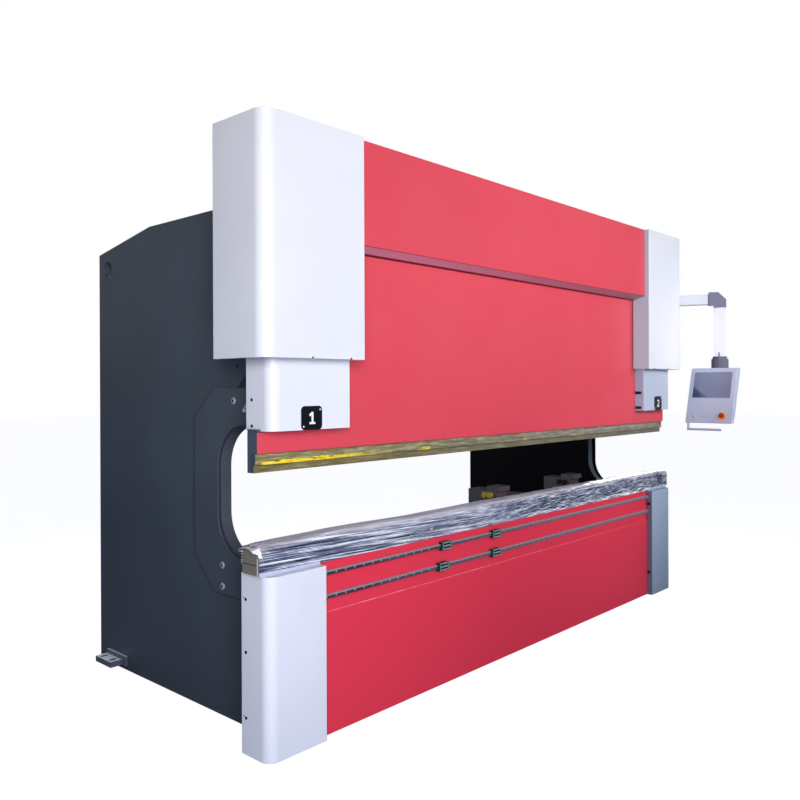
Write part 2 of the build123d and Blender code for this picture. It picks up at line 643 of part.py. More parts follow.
def cylinder():
    """Left hydraulic cylinder block, bolted to the frame's seat."""
    section = RectangleRounded(CYLINDER_WIDTH, CYLINDER_WIDTH, CYLINDER_CORNER)
    body = extrude(Pos(-FRAME_MID, CYLINDER_MID_Y, CYLINDER_LOW) * section,
                   amount=CYLINDER_HIGH - CYLINDER_LOW)
    body += upright(-FRAME_MID, CYLINDER_MID_Y, CYLINDER_HIGH, CYLINDER_HIGH + CYLINDER_CAP_HEIGHT,
                    CYLINDER_CAP_R)
    body -= upright(-FRAME_MID, CYLINDER_MID_Y, CYLINDER_LOW, ROD_TOP + ROD_BORE_SPARE,
                    ROD_R + ROD_CLEAR)
    return body


def piston_rod():
    """Left piston rod with the flange that sits on the ram's shoulder."""
    rod = upright(-FRAME_MID, CYLINDER_MID_Y, RAM_SHOULDER_Z, ROD_TOP, ROD_R)
    flange = upright(-FRAME_MID, CYLINDER_MID_Y, RAM_SHOULDER_Z, RAM_SHOULDER_Z + ROD_FLANGE_HEIGHT,
                     ROD_FLANGE_R)
    return rod + flange


def ram_plate():
    """Ram: a wide lower part in front of the frames, a narrower upper part between the cylinders."""
    half = RAM_HALF_LENGTH
    inner_half = RAM_HALF_LENGTH - RAM_END_RELIEF
    points = [
        (-half, CLAMP_BOTTOM), (half, CLAMP_BOTTOM), (half, RAM_NARROW_Z), (inner_half, RAM_NARROW_Z),
        (inner_half, RAM_SHOULDER_Z), (RAM_UPPER_HALF, RAM_SHOULDER_Z), (RAM_UPPER_HALF, RAM_TOP),
        (-RAM_UPPER_HALF, RAM_TOP), (-RAM_UPPER_HALF, RAM_SHOULDER_Z),
        (-inner_half, RAM_SHOULDER_Z), (-inner_half, RAM_NARROW_Z), (-half, RAM_NARROW_Z),
    ]
    face = Plane.XZ.offset(-RAM_FRONT) * make_face(Polyline(*points, close=True))
    plate = extrude(face, amount=-RAM_THICK)
    return plate - block(-half, half, RAM_FRONT, CLAMP_REAR, CLAMP_BOTTOM, CLAMP_TOP)


def guide_rail():
    """Left guide rail on the back of the ram."""
    return block(-FRAME_MID - GUIDE_RAIL_WIDTH / 2, -FRAME_MID + GUIDE_RAIL_WIDTH / 2, RAM_REAR,
                 RAM_REAR + GUIDE_RAIL_DEPTH, RAM_BOTTOM, RAM_SHOULDER_Z)


def guide_block():
    """Left guide block on the frame's nose, with a channel for the rail."""
    gap = GUIDE_RAIL_WIDTH / 2 + GUIDE_CLEAR
    body = block(-FRAME_MID - GUIDE_BLOCK_WIDTH / 2, -FRAME_MID + GUIDE_BLOCK_WIDTH / 2,
                 RAM_REAR + GUIDE_BLOCK_GAP, NOSE_FRONT, GUIDE_BLOCK_LOW, GUIDE_BLOCK_HIGH)
    return body - block(-FRAME_MID - gap, -FRAME_MID + gap, RAM_REAR,
                        RAM_REAR + GUIDE_RAIL_DEPTH + GUIDE_CLEAR, GUIDE_BLOCK_LOW,
                        GUIDE_BLOCK_HIGH)


def tool_clamp():
    """Tool seat, a bar with two steps down its front and a square step between them."""
    upper = RAM_FRONT + CLAMP_UPPER_INSET
    lower = RAM_FRONT + CLAMP_LOWER_INSET
    outline = [
        (upper, CLAMP_TOP), (upper, CLAMP_STEP_Z), (lower, CLAMP_STEP_Z), (lower, CLAMP_BOTTOM),
        (CLAMP_REAR, CLAMP_BOTTOM), (CLAMP_REAR, CLAMP_TOP),
    ]
    return from_side(outline, -RAM_HALF_LENGTH, RAM_HALF_LENGTH)


def badge():
    """Left number badge on the front of the ram cover."""
    face = RectangleRounded(BADGE_WIDTH, BADGE_HEIGHT, BADGE_CORNER)
    x = -RAM_COVER_OUTER + BADGE_INSET + BADGE_WIDTH / 2
    plane = Plane.XZ.offset(-RAM_COVER_FRONT)
    return extrude(plane * (Pos(x, RAM_COVER_LOW + BADGE_HEIGHT / 2) * face), amount=BADGE_THICK)


def rail(level):
    """Profiled linear rail on the table front."""
    half = RAIL_WIDTH / 2
    waist = RAIL_WAIST / 2
    y = TABLE_FRONT
    points = [
        (y, level - half), (y, level + half), (y - RAIL_FOOT, level + half),
        (y - RAIL_GROOVE, level + waist), (y - RAIL_HEAD, level + half),
        (y - RAIL_HEIGHT, level + half), (y - RAIL_HEIGHT, level - half),
        (y - RAIL_HEAD, level - half), (y - RAIL_GROOVE, level - waist),
        (y - RAIL_FOOT, level - half),
    ]
    return from_side(points, -RAIL_HALF_LENGTH, RAIL_HALF_LENGTH)


def carriage_section(x0, x1, level, step):
    """Channel that hooks round a rail, smaller outside by a step."""
    half = CARRIAGE_WIDTH / 2 - step
    inner = RAIL_WIDTH / 2 + CARRIAGE_CLEAR
    foot = TABLE_FRONT - CARRIAGE_FLOAT
    roof = TABLE_FRONT - RAIL_HEIGHT - CARRIAGE_CLEAR
    top = TABLE_FRONT - CARRIAGE_HEIGHT + step
    points = [
        (foot, level - half), (foot, level - inner), (roof, level - inner), (roof, level + inner),
        (foot, level + inner), (foot, level + half), (top, level + half), (top, level - half),
    ]
    return from_side(points, x0, x1)


def carriage(x, level):
    """Carriage with stepped end caps and four tapped holes in its face."""
    end = CARRIAGE_LENGTH / 2
    body = carriage_section(x - end, x + end, level, CARRIAGE_CAP_STEP)
    body += carriage_section(x - end + CARRIAGE_CAP, x + end - CARRIAGE_CAP, level, 0)
    drill = Cylinder(CARRIAGE_BOLT_R, CARRIAGE_BOLT_DEPTH, align=ON_FLOOR)
    for dx in (-CARRIAGE_BOLT_X / 2, CARRIAGE_BOLT_X / 2):
        for dz in (-CARRIAGE_BOLT_Z / 2, CARRIAGE_BOLT_Z / 2):
            body -= Pos(x + dx, TABLE_FRONT - CARRIAGE_HEIGHT, level + dz) * (Rot(-90, 0, 0) * drill)
    return body


def crowning_base():
    """Wedge base on the table, two layers with a slit between them and a front clamp plate."""
    half = BASE_HALF_WIDTH
    slit = TABLE_TOP + BASE_LAYER
    lower = block(BASE_LEFT, BASE_RIGHT, -half, half, TABLE_TOP, slit)
    upper = block(BASE_LEFT, BASE_RIGHT, -half, half, slit + BASE_SLIT, BASE_TOP)
    core = block(BASE_LEFT + half, BASE_RIGHT - half, -half / 2, half / 2, slit, slit + BASE_SLIT)
    plate = block(BASE_LEFT, BASE_RIGHT, -half - CLAMP_PLATE_THICK, -half, TABLE_TOP,
                  BASE_TOP - CLAMP_PLATE_THICK)
    return lower + upper + core + plate


def v_die():
    """Die with one long V groove."""
    half = DIE_HALF_WIDTH
    groove = DIE_V_WIDTH / 2
    points = [
        (-half, BASE_TOP), (half, BASE_TOP), (half, DIE_TOP), (groove, DIE_TOP),
        (0, DIE_TOP - DIE_V_WIDTH), (-groove, DIE_TOP), (-half, DIE_TOP),
    ]
    return from_side(points, BASE_LEFT, BASE_RIGHT)


def film_section(spread, top, x0, x1, corner):
    """Section of the film's inside or outside with rounded top edges."""
    front = -BASE_HALF_WIDTH - CLAMP_PLATE_THICK - spread
    rear = BASE_HALF_WIDTH + spread
    low = TABLE_TOP + FILM_CLEAR
    solid = from_side([(front, low), (rear, low), (rear, top), (front, top)], x0, x1)
    return fillet(solid.edges().filter_by(Axis.X).sort_by(Axis.Z)[-2:], corner)


def film_wrap():
    """Stretch film wound round the base and die, open at the left end."""
    left = BASE_LEFT + FILM_SHIFT
    top = DIE_TOP + FILM_CLEAR
    wrap = film_section(FILM_CLEAR + FILM_THICK, top + FILM_THICK, left, BASE_RIGHT + FILM_SHIFT,
                        FILM_CORNER)
    return wrap - film_section(FILM_CLEAR, top, left, BASE_RIGHT + FILM_CLEAR,
                               FILM_CORNER - FILM_THICK)


def rear_tie():
    """Folded plate that ties the frames together at the rear."""
    y = FRAME_REAR - REAR_TIE_INSET
    sheet = block(-FRAME_INNER, FRAME_INNER, y - REAR_TIE_THICK, y, REAR_TIE_LOW, REAR_TIE_HIGH)
    for level in (REAR_TIE_LOW, REAR_TIE_HIGH - REAR_TIE_THICK):
        sheet += block(-FRAME_INNER, FRAME_INNER, y - REAR_TIE_THICK - REAR_TIE_LIP,
                       y - REAR_TIE_THICK, level, level + REAR_TIE_THICK)
    return sheet


def upper_tie():
    """Plate between the frames, behind the ram."""
    return block(-FRAME_INNER, FRAME_INNER, UPPER_TIE_Y, UPPER_TIE_REAR, UPPER_TIE_LOW,
                 UPPER_TIE_HIGH)


def oil_tank():
    """Oil tank welded behind the upper tie, with a lid and a filler cap."""
    half = TANK_HALF_LENGTH
    tank = block(-half, half, UPPER_TIE_REAR, TANK_REAR, TANK_LOW, TANK_HIGH)
    tank += block(-half - TANK_LID_PROUD, half + TANK_LID_PROUD, UPPER_TIE_REAR + TANK_LID_SETBACK,
                  TANK_REAR + TANK_LID_PROUD, TANK_HIGH, TANK_TOP)
    return tank + upright(FILLER_INSET - half, TANK_REAR - FILLER_INSET, TANK_TOP,
                          TANK_TOP + FILLER_HEIGHT, FILLER_R)


def pump_motor():
    """Electric motor lying on the tank lid, with its fan cover, bell, pump, foot and terminal box."""
    axis_z = TANK_TOP + MOTOR_FOOT_HEIGHT
    lengths = (FAN_COVER_LENGTH, MOTOR_LENGTH, BELL_LENGTH, PUMP_LENGTH)
    radii = (FAN_COVER_R, MOTOR_R, BELL_R, PUMP_R)
    end = MOTOR_END - FAN_COVER_LENGTH
    middle = end - MOTOR_LENGTH / 2
    motor = block(middle - MOTOR_FOOT_LENGTH / 2, middle + MOTOR_FOOT_LENGTH / 2, MOTOR_Y - MOTOR_R,
                  MOTOR_Y + MOTOR_R, TANK_TOP, TANK_TOP + MOTOR_FOOT_DEPTH)
    motor += block(middle - TERMINAL_BOX / 2, middle + TERMINAL_BOX / 2, MOTOR_Y - TERMINAL_BOX / 2,
                   MOTOR_Y + TERMINAL_BOX / 2, axis_z, axis_z + MOTOR_R + TERMINAL_RISE)
    x = MOTOR_END
    for length, radius in zip(lengths, radii):
        motor += across(x - length, x, MOTOR_Y, axis_z, radius)
        x -= length
    return motor


def gauge_rail():
    """Left gauge rail unit on the frame's inner face, with a guide strip on top."""
    middle = -FRAME_INNER + GAUGE_UNIT_WIDTH / 2
    strip_low = GAUGE_RAIL_HIGH - GAUGE_STRIP_HEIGHT
    unit = block(-FRAME_INNER, -FRAME_INNER + GAUGE_UNIT_WIDTH, GAUGE_RAIL_FRONT, GAUGE_RAIL_REAR,
                 GAUGE_RAIL_LOW, strip_low)
    return unit + block(middle - GAUGE_STRIP_WIDTH / 2, middle + GAUGE_STRIP_WIDTH / 2,
                        GAUGE_RAIL_FRONT, GAUGE_RAIL_REAR, strip_low, GAUGE_RAIL_HIGH)


def gauge_beam():
    """Slotted back gauge beam with a shoe over each rail unit."""
    front = GAUGE_BEAM_Y
    rear = GAUGE_BEAM_Y + GAUGE_BEAM_DEPTH
    low_lip = (GAUGE_BEAM_LOW + GAUGE_BEAM_HIGH - GAUGE_BEAM_SLOT) / 2
    high_lip = low_lip + GAUGE_BEAM_SLOT
    outline = [
        (front, GAUGE_BEAM_LOW), (rear, GAUGE_BEAM_LOW), (rear, GAUGE_BEAM_HIGH),
        (front, GAUGE_BEAM_HIGH), (front, high_lip), (front + GAUGE_BEAM_SLOT, high_lip),
        (front + GAUGE_BEAM_SLOT, low_lip), (front, low_lip),
    ]
    beam = from_side(outline, -GAUGE_BEAM_HALF, GAUGE_BEAM_HALF)
    for side in (-1, 1):
        ends = sorted((side * (GAUGE_BEAM_HALF - GAUGE_BEAM_GAP), side * (FRAME_INNER - GAUGE_BEAM_GAP)))
        beam += block(ends[0], ends[1], front - GAUGE_SHOE_FRONT, front + GAUGE_SHOE_REAR,
                      GAUGE_SHOE_LOW, GAUGE_BEAM_HIGH)
    return beam


def gauge_finger(x):
    """Gauge finger: a saddle on the beam, an arm with a stepped head and two clamping knobs."""
    half = FINGER_WIDTH / 2
    low = GAUGE_BEAM_HIGH + GUIDE_CLEAR
    high = GAUGE_BEAM_HIGH + FINGER_SADDLE
    top = GAUGE_BEAM_HIGH + FINGER_RISE
    front = GAUGE_BEAM_Y - FINGER_REACH
    rear = GAUGE_BEAM_Y + GAUGE_BEAM_DEPTH
    outline = [
        (front, top), (front, top - FINGER_LIP), (front + FINGER_STEP, top - FINGER_LIP),
        (front + FINGER_STEP, high), (GAUGE_BEAM_Y, high), (GAUGE_BEAM_Y, low), (rear, low),
        (rear, top - FINGER_ARM_DROP), (front + FINGER_HEAD, top - FINGER_ARM_DROP),
        (front + FINGER_HEAD, top),
    ]
    finger = from_side(outline, x - half, x + half)
    for step in (0, 1):
        finger += across(x - half - KNOB_LENGTH, x - half, front + KNOB_FORWARD + step * KNOB_SPACING,
                         top - KNOB_DROP, KNOB_R)
    return finger


def arm_bracket():
    """Fork on the right frame with the pin that the arm swings on."""
    low = ARM_LOW - BRACKET_CLEAR
    high = ARM_LOW + TUBE + BRACKET_CLEAR
    fork = block(FRAME_OUTER, FRAME_OUTER + BRACKET_PLATE, PIVOT_Y - PIVOT_BOSS_R,
                 PIVOT_Y + PIVOT_BOSS_R, low - TUBE, high + TUBE)
    for level in (low - BRACKET_PLATE, high):
        fork += block(FRAME_OUTER, PIVOT_X, PIVOT_Y - PIVOT_BOSS_R, PIVOT_Y + PIVOT_BOSS_R, level,
                      level + BRACKET_PLATE)
        fork += upright(PIVOT_X, PIVOT_Y, level, level + BRACKET_PLATE, PIVOT_BOSS_R)
    return fork + upright(PIVOT_X, PIVOT_Y, low - BRACKET_PLATE, high + BRACKET_PLATE, PIVOT_PIN_R)


def pendant_arm():
    """Square arm tube with its pivot boss, the socketed elbow and the drop tube."""
    turn = Pos(PIVOT_X, PIVOT_Y, 0) * Rot(0, 0, ARM_ANGLE)
    arm = block(0, ARM_LENGTH, -TUBE / 2, TUBE / 2, ARM_LOW, ARM_LOW + TUBE)
    boss = upright(0, 0, ARM_LOW, ARM_LOW + TUBE, PIVOT_BOSS_R)
    half = TUBE / 2 + ELBOW_WALL
    left = ARM_LENGTH - half
    right = ARM_LENGTH + half
    low = ARM_LOW - ELBOW_WALL
    top = ARM_LOW + TUBE + ELBOW_CROWN
    outline = [
        (left - ELBOW_SOCKET, low), (left, low), (left, low - ELBOW_SKIRT),
        (right, low - ELBOW_SKIRT), (right, top - ELBOW_CHAMFER), (right - ELBOW_CHAMFER, top),
        (left - ELBOW_SOCKET, top),
    ]
    face = Plane.XZ.offset(-half) * make_face(Polyline(*outline, close=True))
    elbow = extrude(face, amount=2 * half)
    drop = block(ARM_LENGTH - TUBE / 2, ARM_LENGTH + TUBE / 2, -TUBE / 2, TUBE / 2, DROP_LOW, low)
    bore = upright(0, 0, ARM_LOW, ARM_LOW + TUBE, PIVOT_PIN_R + ROD_CLEAR)
    return turn * (arm + boss + elbow + drop - bore)


def on_drop(solid):
    """Carries a piece of the control panel from its own axis to the foot of the drop tube."""
    return Pos(DROP_X, DROP_Y, 0) * Rot(0, 0, BOX_YAW) * solid


def swivel_collar():
    """Ribbed collar that the box turns on, with its cap and its small locking lever."""
    top = DROP_LOW - COLLAR_CLEAR
    cap_low = top - COLLAR_CAP_HEIGHT
    pitch = (cap_low - BOX_TOP) / COLLAR_RIBS
    collar = upright(0, 0, BOX_TOP, cap_low, COLLAR_R) + upright(0, 0, cap_low, top, COLLAR_CAP_R)
    for index in range(COLLAR_RIBS):
        low = BOX_TOP + index * pitch
        collar += upright(0, 0, low, low + pitch / 2, COLLAR_RIB_R)
    angle = radians(LEVER_ANGLE)
    lever = upright(COLLAR_RIB_R * cos(angle), COLLAR_RIB_R * sin(angle), cap_low - COLLAR_CAP_HEIGHT,
                    top + LEVER_RISE, LEVER_R)
    return on_drop(collar + lever)


def box_face():
    """Plane of the box's face: origin at its middle, x to the operator's right, z out of it."""
    lean = BOX_FACE * sin(radians(BOX_TILT))
    rise = BOX_FACE * cos(radians(BOX_TILT))
    middle = (-BOX_FORWARD - lean / 2, BOX_SHIFT, BOX_TOP - rise / 2)
    normal = (-cos(radians(BOX_TILT)), 0, sin(radians(BOX_TILT)))
    return Plane(origin=middle, x_dir=(0, -1, 0), z_dir=normal)


def on_face(offset, level, start, length, radius):
    """Round boss or hole square to the box's face, counted from its lower edge."""
    boss = Cylinder(radius, length, align=ON_FLOOR)
    return box_face() * (Pos(offset, level - BOX_FACE / 2, start) * boss)


def glass_plate():
    """Display glass, sunk into the box's face by part of its thickness."""
    y = BOX_FACE / 2 - SCREEN_TOP_MARGIN - SCREEN_HEIGHT / 2
    plate = Pos(0, y, -SCREEN_SUNK) * Rectangle(SCREEN_WIDTH, SCREEN_HEIGHT)
    return box_face() * extrude(plate, amount=SCREEN_THICK)


def control_box():
    """Wedge-shaped control box, thicker at its top, with a neck behind and a handle below."""
    low_x = -BOX_FORWARD - BOX_FACE * sin(radians(BOX_TILT))
    low_z = BOX_TOP - BOX_FACE * cos(radians(BOX_TILT))
    points = [
        (low_x, low_z), (-BOX_FORWARD, BOX_TOP), (BOX_TOP_DEPTH - BOX_FORWARD, BOX_TOP),
        (low_x + BOX_LOW_DEPTH, low_z),
    ]
    outline = make_face(Polyline(*points, close=True))
    body = extrude(Plane.XZ.offset(-BOX_SHIFT - BOX_WIDTH / 2) * outline, amount=BOX_WIDTH)
    body = fillet(body.edges(), BOX_CORNER)
    body += block(0, COLLAR_RIB_R, -NECK_WIDTH / 2, NECK_WIDTH / 2, BOX_TOP - NECK_HEIGHT, BOX_TOP)
    grip_x = low_x + HANDLE_INSET
    grip_y = BOX_SHIFT + BOX_WIDTH / 2 - HANDLE_INSET
    body += upright(grip_x, grip_y, low_z - HANDLE_DROP, low_z, HANDLE_R)
    grip = Cylinder(HANDLE_R, HANDLE_LENGTH, align=ON_FLOOR)
    body += Pos(grip_x, grip_y + HANDLE_R, low_z - HANDLE_DROP) * (Rot(90, 0, 0) * grip)
    hole = 2 * STEM_DEPTH
    body -= on_face(STOP_OFFSET, BUTTON_UP, -hole, hole, STOP_STEM_R + BUTTON_CLEAR)
    body -= on_face(START_OFFSET, BUTTON_UP, -hole, hole, START_STEM_R + BUTTON_CLEAR)
    return on_drop(body - glass_plate())


def stop_collar():
    """Yellow collar of the emergency stop."""
    ring = on_face(STOP_OFFSET, BUTTON_UP, 0, STOP_COLLAR_THICK, STOP_COLLAR_R)
    ring -= on_face(STOP_OFFSET, BUTTON_UP, 0, STOP_COLLAR_THICK, STOP_STEM_R + BUTTON_CLEAR)
    return on_drop(ring)


def button(offset, seat, travel, head, radius, stem_radius):
    """Push button above its seat by its travel, on a stem that enters the box."""
    rest = seat + travel + BUTTON_CLEAR
    cap = on_face(offset, BUTTON_UP, rest, head, radius)
    return on_drop(cap + on_face(offset, BUTTON_UP, -STEM_DEPTH, STEM_DEPTH + rest, stem_radius))


def electric_cabinet():
    """Electric cabinet on the outside of the right frame, with its door and roof."""
    x1 = FRAME_OUTER + CABINET_DEPTH
    body = block(FRAME_OUTER, x1, CABINET_FRONT, CABINET_REAR, CABINET_LOW, CABINET_HIGH)
    body = fillet(body.edges().filter_by(Axis.Z).sort_by(Axis.X)[-2:], CABINET_CORNER)
    door = block(x1, x1 + CABINET_DOOR_THICK, CABINET_FRONT + CABINET_DOOR_INSET,
                 CABINET_REAR - CABINET_DOOR_INSET, CABINET_LOW + CABINET_DOOR_INSET,
                 CABINET_HIGH - CABINET_DOOR_INSET)
    roof = block(FRAME_OUTER, x1 + CABINET_DOOR_THICK + CABINET_ROOF_PROUD,
                 CABINET_FRONT - CABINET_ROOF_PROUD, CABINET_REAR + CABINET_ROOF_PROUD,
                 CABINET_HIGH, CABINET_HIGH + CABINET_ROOF)
    return body + door + roof


def both_sides(solid):
    """One node that holds the left piece and its mirror image."""
    return Compound(children=[solid, mirrored(solid)])


def build():
    """Makes every node of the machine."""
    nodes = {}
    pairs = {
        "side_frame": side_frame(), "throat_plate": throat_plate(), "table_cover": table_cover(),
        "ram_cover": ram_cover(), "cylinder_cover": cylinder_cover(), "cylinder": cylinder(),
    }
    for name, solid in pairs.items():
        nodes["left_" + name] = solid
        nodes["right_" + name] = mirrored(solid)
    nodes["rear_feet"] = both_sides(rear_foot())
    nodes["piston_rods"] = both_sides(piston_rod())
    nodes["ram_guide_rails"] = both_sides(guide_rail())
    nodes["ram_guide_blocks"] = both_sides(guide_block())
    nodes["number_badges"] = both_sides(badge())
    nodes["gauge_rails"] = both_sides(gauge_rail())
    nodes["table_beam"] = table_beam()
    nodes["upper_front_panel"] = upper_front_panel()
    nodes["ram_plate"] = ram_plate()
    nodes["tool_clamp"] = tool_clamp()
    nodes["upper_rail"] = rail(UPPER_RAIL_Z)
    nodes["lower_rail"] = rail(LOWER_RAIL_Z)
    nodes["upper_left_carriage"] = carriage(UPPER_LEFT_CARRIAGE_X, UPPER_RAIL_Z)
    nodes["upper_right_carriage"] = carriage(UPPER_RIGHT_CARRIAGE_X, UPPER_RAIL_Z)
    nodes["lower_left_carriage"] = carriage(LOWER_LEFT_CARRIAGE_X, LOWER_RAIL_Z)
    nodes["lower_right_carriage"] = carriage(LOWER_RIGHT_CARRIAGE_X, LOWER_RAIL_Z)
    nodes["crowning_base"] = crowning_base()
    nodes["v_die"] = v_die()
    nodes["film_wrap"] = film_wrap()
    nodes["rear_tie"] = rear_tie()
    nodes["upper_tie"] = upper_tie()
    nodes["oil_tank"] = oil_tank()
    nodes["pump_motor"] = pump_motor()
    nodes["gauge_beam"] = gauge_beam()
    nodes["left_gauge_finger"] = gauge_finger(LEFT_FINGER_X)
    nodes["right_gauge_finger"] = gauge_finger(RIGHT_FINGER_X)
    nodes["arm_bracket"] = arm_bracket()
    nodes["pendant_arm"] = pendant_arm()
    nodes["swivel_collar"] = swivel_collar()
    nodes["control_box"] = control_box()
    nodes["screen"] = on_drop(glass_plate())
    nodes["stop_collar"] = stop_collar()
    nodes["stop_button"] = button(STOP_OFFSET, STOP_COLLAR_THICK, STOP_TRAVEL, STOP_HEAD, STOP_R,
                                  STOP_STEM_R)
    nodes["start_button"] = button(START_OFFSET, 0, START_TRAVEL, START_HEAD, START_R,
                                   START_STEM_R)
    nodes["electric_cabinet"] = electric_cabinet()
    return nodes


os.makedirs("parts", exist_ok=True)
for node, solid in build().items():
    export_step(solid, "parts/" + node + ".step")
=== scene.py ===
# %% [markdown]
# # A hydraulic press brake, dressed for a photo
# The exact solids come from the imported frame. This script gives them paint, steel, grease and
# film, and adds what is too small for the solids: screws, plugs, caps, numbers and creases.
# It runs from top to bottom, one short step per cell.

import json
import math

import bmesh
import bpy
from mathutils import Matrix, Vector, noise


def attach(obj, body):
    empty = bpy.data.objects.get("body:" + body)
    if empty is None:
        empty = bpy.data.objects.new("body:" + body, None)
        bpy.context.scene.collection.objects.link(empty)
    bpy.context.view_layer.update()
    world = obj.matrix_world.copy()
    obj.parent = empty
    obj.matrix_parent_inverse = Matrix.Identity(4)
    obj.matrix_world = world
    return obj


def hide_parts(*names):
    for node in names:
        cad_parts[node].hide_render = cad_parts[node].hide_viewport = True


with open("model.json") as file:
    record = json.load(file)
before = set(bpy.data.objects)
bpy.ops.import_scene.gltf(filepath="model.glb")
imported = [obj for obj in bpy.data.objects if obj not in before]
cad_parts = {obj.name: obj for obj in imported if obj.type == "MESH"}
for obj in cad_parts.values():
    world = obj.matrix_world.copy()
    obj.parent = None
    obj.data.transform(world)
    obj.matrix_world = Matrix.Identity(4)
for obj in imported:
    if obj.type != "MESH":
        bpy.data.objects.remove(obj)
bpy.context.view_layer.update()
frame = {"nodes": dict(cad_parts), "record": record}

# %% [markdown]
# ## The camera comes first
# A photo's viewpoint can be solved from the edges of a square-built machine. The camera stands
# in front of the left end, at eye level, and looks along the machine with almost no tilt.
# Blender's camera looks down its own -Z axis, so a matrix is built from three directions.

# %% Camera
EYE = (-4.0745, -2.7590, 1.5982)
YAW, PITCH, ROLL = math.radians(42.372), math.radians(-0.115), math.radians(-0.209)
forward = Vector((math.cos(YAW) * math.cos(PITCH), math.sin(YAW) * math.cos(PITCH),
                  math.sin(PITCH)))
level = Vector((math.sin(YAW), -math.cos(YAW), 0))
above = level.cross(forward)
right = level * math.cos(ROLL) + above * math.sin(ROLL)
up = above * math.cos(ROLL) - level * math.sin(ROLL)

lens = bpy.data.cameras.new("camera")
lens.sensor_width = 36
lens.lens = 35.70
lens.shift_x = -0.00187
lens.shift_y = -0.01572
lens.clip_end = 200
camera = bpy.data.objects.new("camera", lens)
bpy.context.scene.collection.objects.link(camera)
turn = Matrix((right, up, -forward)).transposed()
camera.matrix_world = Matrix.Translation(EYE) @ turn.to_4x4()
bpy.context.scene.camera = camera
bpy.context.scene.view_settings.view_transform = "Standard"
print("camera at", [round(v, 2) for v in camera.location])

# %% [markdown]
# ## Colours
# Colours are written as sRGB hex, as a picture editor shows them. Blender's shaders want linear
# light, so one function converts them.

# %% Colours
def colour(code):
    """Linear RGBA from a hex colour such as '#E04558'."""
    values = [int(code[i:i + 2], 16) / 255 for i in (1, 3, 5)]
    return [v / 12.92 if v <= 0.04045 else ((v + 0.055) / 1.055) ** 2.4 for v in values] + [1]


print("the red of the beams in linear light", [round(v, 3) for v in colour("#DF4A58")])

# %% [markdown]
# ## Shader nodes
# A material is a chain of nodes. One function adds any of them: it sets what the node is, links
# or sets its inputs, and gives back the output that the next node needs. A Mix node in its
# colour mode keeps its factor at input 0 and its colours at 6 and 7, and gives output 2. A Math
# node adds, unless it is told otherwise.

# %% Adding a node
MM = 0.001
COLOURS = {"out": 2, "data_type": "RGBA"}


def fill(tree, node, inputs):
    """Links sockets, and sets numbers and hex colours, on inputs given by name or number."""
    for key, value in inputs.items():
        if isinstance(value, bpy.types.NodeSocket):
            tree.links.new(value, node.inputs[key])
        else:
            node.inputs[key].default_value = colour(value) if isinstance(value, str) else value


def add(tree, kind, inputs=(), out=0, stops=(), **settings):
    """Adds a shader node with its settings and links; stops are a ramp's places and colours."""
    made = tree.nodes.new("ShaderNode" + kind)
    for key, value in settings.items():
        setattr(made, key, value)
    fill(tree, made, inputs if isinstance(inputs, dict) else dict(enumerate(inputs)))
    for index, (position, code) in enumerate(stops):
        band = made.color_ramp.elements
        step = band[index] if index < 2 else band.new(position)
        step.position = position
        step.color = colour(code)
    return made.outputs[out] if made.outputs else None


print("one unit is a metre, a millimetre is", MM)

# %% [markdown]
# ## Sky
# The camera sees a pure white background, and the machine is lit by a weak even blue-white, as
# in a bright hall. Light Path tells the camera's rays from all others.

# %% World
world = bpy.data.worlds.new("white room")
bpy.context.scene.world = world
world.use_nodes = True
sky = world.node_tree
sky.nodes.clear()
to_camera = add(sky, "LightPath", out="Is Camera Ray")
white = add(sky, "Background", {"Color": "#FFFFFF", "Strength": 1.0})
even = add(sky, "Background", {"Color": "#D2DCFF", "Strength": 0.2})
add(sky, "OutputWorld", {"Surface": add(sky, "MixShader", [to_camera, even, white])})
print("sky nodes", len(sky.nodes))

# %% [markdown]
# ## Lamps
# Soft square lamps only: the key light behind the camera, a weak blue one low in front of the
# left end, and four with narrow beams for the middle, the right side and the pendant. Two more
# light the back and the right end, which the photo doesn't show. All but the key light and these
# two hide from mirrors, so that no bright square shows in the glossy paint.

# %% Lamps
def lamp(name, position, target, size, watts, tint="#FFFFFF", beam=180, mirrored=True):
    """A square soft lamp that faces a target; beam is its angle, and it may hide in mirrors."""
    light = bpy.data.lights.new(name, "AREA")
    light.size = size
    light.energy = watts
    light.color = colour(tint)[:3]
    light.spread = math.radians(beam)
    holder = bpy.data.objects.new(name, light)
    holder.location = position
    aim = Vector(target) - Vector(position)
    holder.rotation_euler = aim.to_track_quat("-Z", "Y").to_euler()
    holder.visible_camera = False
    holder.visible_glossy = mirrored
    bpy.context.scene.collection.objects.link(holder)


WHITE = "#FFFFFF"
lamp("key light behind the camera", (-4.8, -3.9, 2.6), (-1.5, 0.0, 2.4), 2.2, 74, "#FFFDFC", 100)
lamp("middle light", (0.5, -5.5, 3.0), (0.2, 0.0, 2.7), 1.6, 18, WHITE, 60, False)
lamp("upper right light", (2.6, -3.4, 3.0), (1.6, 0.0, 2.1), 1.4, 11, WHITE, 72, False)
lamp("low blue light", (-3.5, -2.9, 0.5), (-0.9, 0.0, 0.4), 1.0, 14.5, "#DDE7FF", 90, False)
lamp("lower right light", (1.7, -4.0, 1.0), (1.4, 0.0, 0.55), 0.6, 2.2, WHITE, 42, False)
lamp("light behind the machine", (-1.0, 6.8, 3.4), (0.0, 1.0, 1.3), 2.5, 44, WHITE, 90)
lamp("light at the right", (6.2, 1.8, 2.6), (2.0, 0.8, 1.4), 1.6, 15, WHITE, 90)
lamp("light on the pendant", (0.7, -3.2, 2.7), (2.35, -0.35, 1.9), 0.5, 1.7, WHITE, 30, False)

